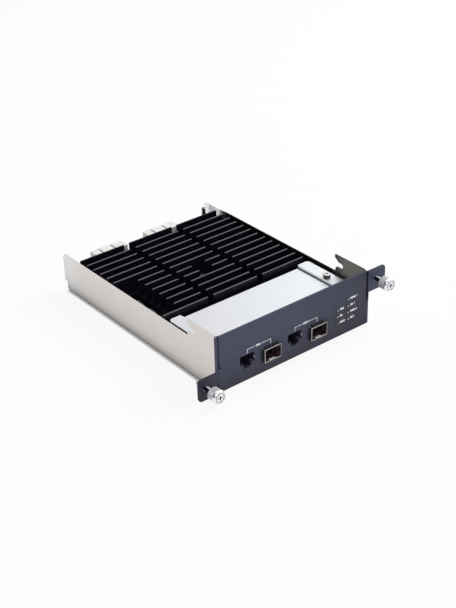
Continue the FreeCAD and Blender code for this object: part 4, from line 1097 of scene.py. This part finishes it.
def thumbscrew(side):
    """Turned knob with a ringed face, fluted grip, plain shank and helical thread."""
    low, high = node_box(f"thumbscrew_{side}")
    middle = (low + high) / 2
    shape = lathe(knob_rings() + shank_rings(), SCREW_SEGMENTS)
    bmesh.ops.translate(shape, vec=(middle.x, low.y, middle.z), verts=shape.verts)
    mesh = mesh_of(shape, "thumbscrew")
    piece = new_piece(f"thumbscrew_{side}_turned", mesh, f"knob_{side}", f"screw_{side}")
    for half_x, half_z in ((CROSS_HALF, CROSS_WIDTH / 2), (CROSS_WIDTH / 2, CROSS_HALF)):
        near = (middle.x - half_x, low.y - CUT_LEAD, middle.z - half_z)
        far = (middle.x + half_x, low.y + CROSS_DEPTH, middle.z + half_z)
        cut_box(piece, near, far)
    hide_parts(f"thumbscrew_{side}")
    soften(piece)


def build_camera():
    """Camera that sees the panel's upper left corner at its pixel in the photograph."""
    back = Vector((
        math.sin(CAMERA_AZIMUTH) * math.cos(CAMERA_ELEVATION),
        -math.cos(CAMERA_AZIMUTH) * math.cos(CAMERA_ELEVATION),
        math.sin(CAMERA_ELEVATION),
    ))
    level_right = Vector((0, 0, 1)).cross(back).normalized()
    level_up = back.cross(level_right)
    right = level_right * math.cos(CAMERA_ROLL) + level_up * math.sin(CAMERA_ROLL)
    up = level_up * math.cos(CAMERA_ROLL) - level_right * math.sin(CAMERA_ROLL)
    low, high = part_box("front_panel")
    corner = Vector((low.x, low.y, high.z + CORNER_LIFT))
    off_x = (CORNER_PIXEL[0] - PHOTO_SIZE[0] / 2) / FOCAL_PIXELS
    off_y = (PHOTO_SIZE[1] / 2 - CORNER_PIXEL[1]) / FOCAL_PIXELS
    place = corner - (right * off_x + up * off_y - back) * CAMERA_DISTANCE
    data = bpy.data.cameras.new("camera")
    data.sensor_width = SENSOR
    data.lens = FOCAL_PIXELS / max(PHOTO_SIZE) * SENSOR
    data.clip_start = CAMERA_CLIP
    camera = bpy.data.objects.new("camera", data)
    bpy.context.scene.collection.objects.link(camera)
    camera.matrix_world = Matrix.Translation(place) @ Matrix((right, up, back)).transposed().to_4x4()
    bpy.context.scene.camera = camera


def area_light(name, power, size, place):
    """Soft square lamp that looks at the object."""
    data = bpy.data.lights.new(name, "AREA")
    data.energy = power
    data.size = size
    lamp = bpy.data.objects.new(name, data)
    bpy.context.scene.collection.objects.link(lamp)
    lamp.location = place
    lamp.rotation_euler = (Vector(LAMP_TARGET) - Vector(place)).to_track_quat("-Z", "Y").to_euler()


def build_world():
    """White to the camera; bright in reflections, less to the horizon and the left; else a soft fill."""
    world = bpy.data.worlds.new("studio")
    world.use_nodes = True
    bpy.context.scene.world = world
    sky = Nodes(world.node_tree, "Generated")
    rays = sky.add("ShaderNodeLightPath")
    upwards = sky.span(sky.component(sky.place, "Z"), *HORIZON_BAND, WORLD_HORIZON, 1.0)
    sideways = sky.span(sky.component(sky.place, "X"), *LEFT_BAND, WORLD_LEFT, 1.0)
    strength = sky.select(rays.outputs["Is Glossy Ray"], WORLD_FILL, sky.both(upwards, sideways))
    shown = sky.math("MAXIMUM", strength, rays.outputs["Is Camera Ray"])
    sky.feed(world.node_tree.nodes["Background"], Color=WORLD_COLOUR, Strength=shown)


def shadow_line(shader):
    """Share of the floor's glow that is left, low along the left wall so that its contact shadow shows."""
    low, high = node_box("tray")
    across = shader.axis("X")
    along = shader.axis("Y")
    line = shader.both(
        shader.span(across, *band(low.x, SHADOW_LEFT)),
        shader.span(across, *band(low.x, SHADOW_RIGHT), 1.0, 0.0),
        shader.span(along, *band(low.y, SHADOW_FRONT)),
        shader.span(along, *band(high.y, SHADOW_REAR), 1.0, 0.0),
    )
    return shader.select(line, 1.0, 1.0 - SHADOW_LINE)


def floor_material():
    """Pale and rough, glowing white to the camera and in reflections."""
    shader = Shader("floor")
    shader.finish(Base_Color=FLOOR_COLOUR, Roughness=0.8)
    rays = shader.add("ShaderNodeLightPath")
    seen = shader.math("ADD", rays.outputs["Is Camera Ray"], rays.outputs["Is Glossy Ray"])
    glow = shader.add("ShaderNodeEmission")
    mix = shader.add("ShaderNodeMixShader")
    shader.put(mix.inputs["Fac"], shader.both(seen, FLOOR_GLOW, shadow_line(shader)))
    shader.put(mix.inputs[1], shader.surface.outputs["BSDF"])
    shader.put(mix.inputs[2], glow.outputs["Emission"])
    shader.feed(shader.tree.nodes["Material Output"], Surface=mix.outputs["Shader"])
    return shader.material


def build_floor():
    """Wide floor just under the object, which still takes its shadow."""
    mesh = bpy.data.meshes.new("floor")
    corners = ((-1, -1), (1, -1), (1, 1), (-1, 1))
    mesh.from_pydata([(x * FLOOR_REACH, y * FLOOR_REACH, 0) for x, y in corners], [], [(0, 1, 2, 3)])
    mesh.materials.append(floor_material())
    floor = bpy.data.objects.new("floor", mesh)
    floor.location.z = cad_box[0].z - FLOOR_DROP * MM
    bpy.context.scene.collection.objects.link(floor)


bpy.context.scene.view_settings.view_transform = "Standard"
build_camera()
build_world()
build_floor()
for name, (power, size, place) in LAMPS.items():
    area_light(name, power, size, place)
dress_nodes()
panel_print()
for side in SIDES:
    thumbscrew(side)
    slit_shade_block(side)
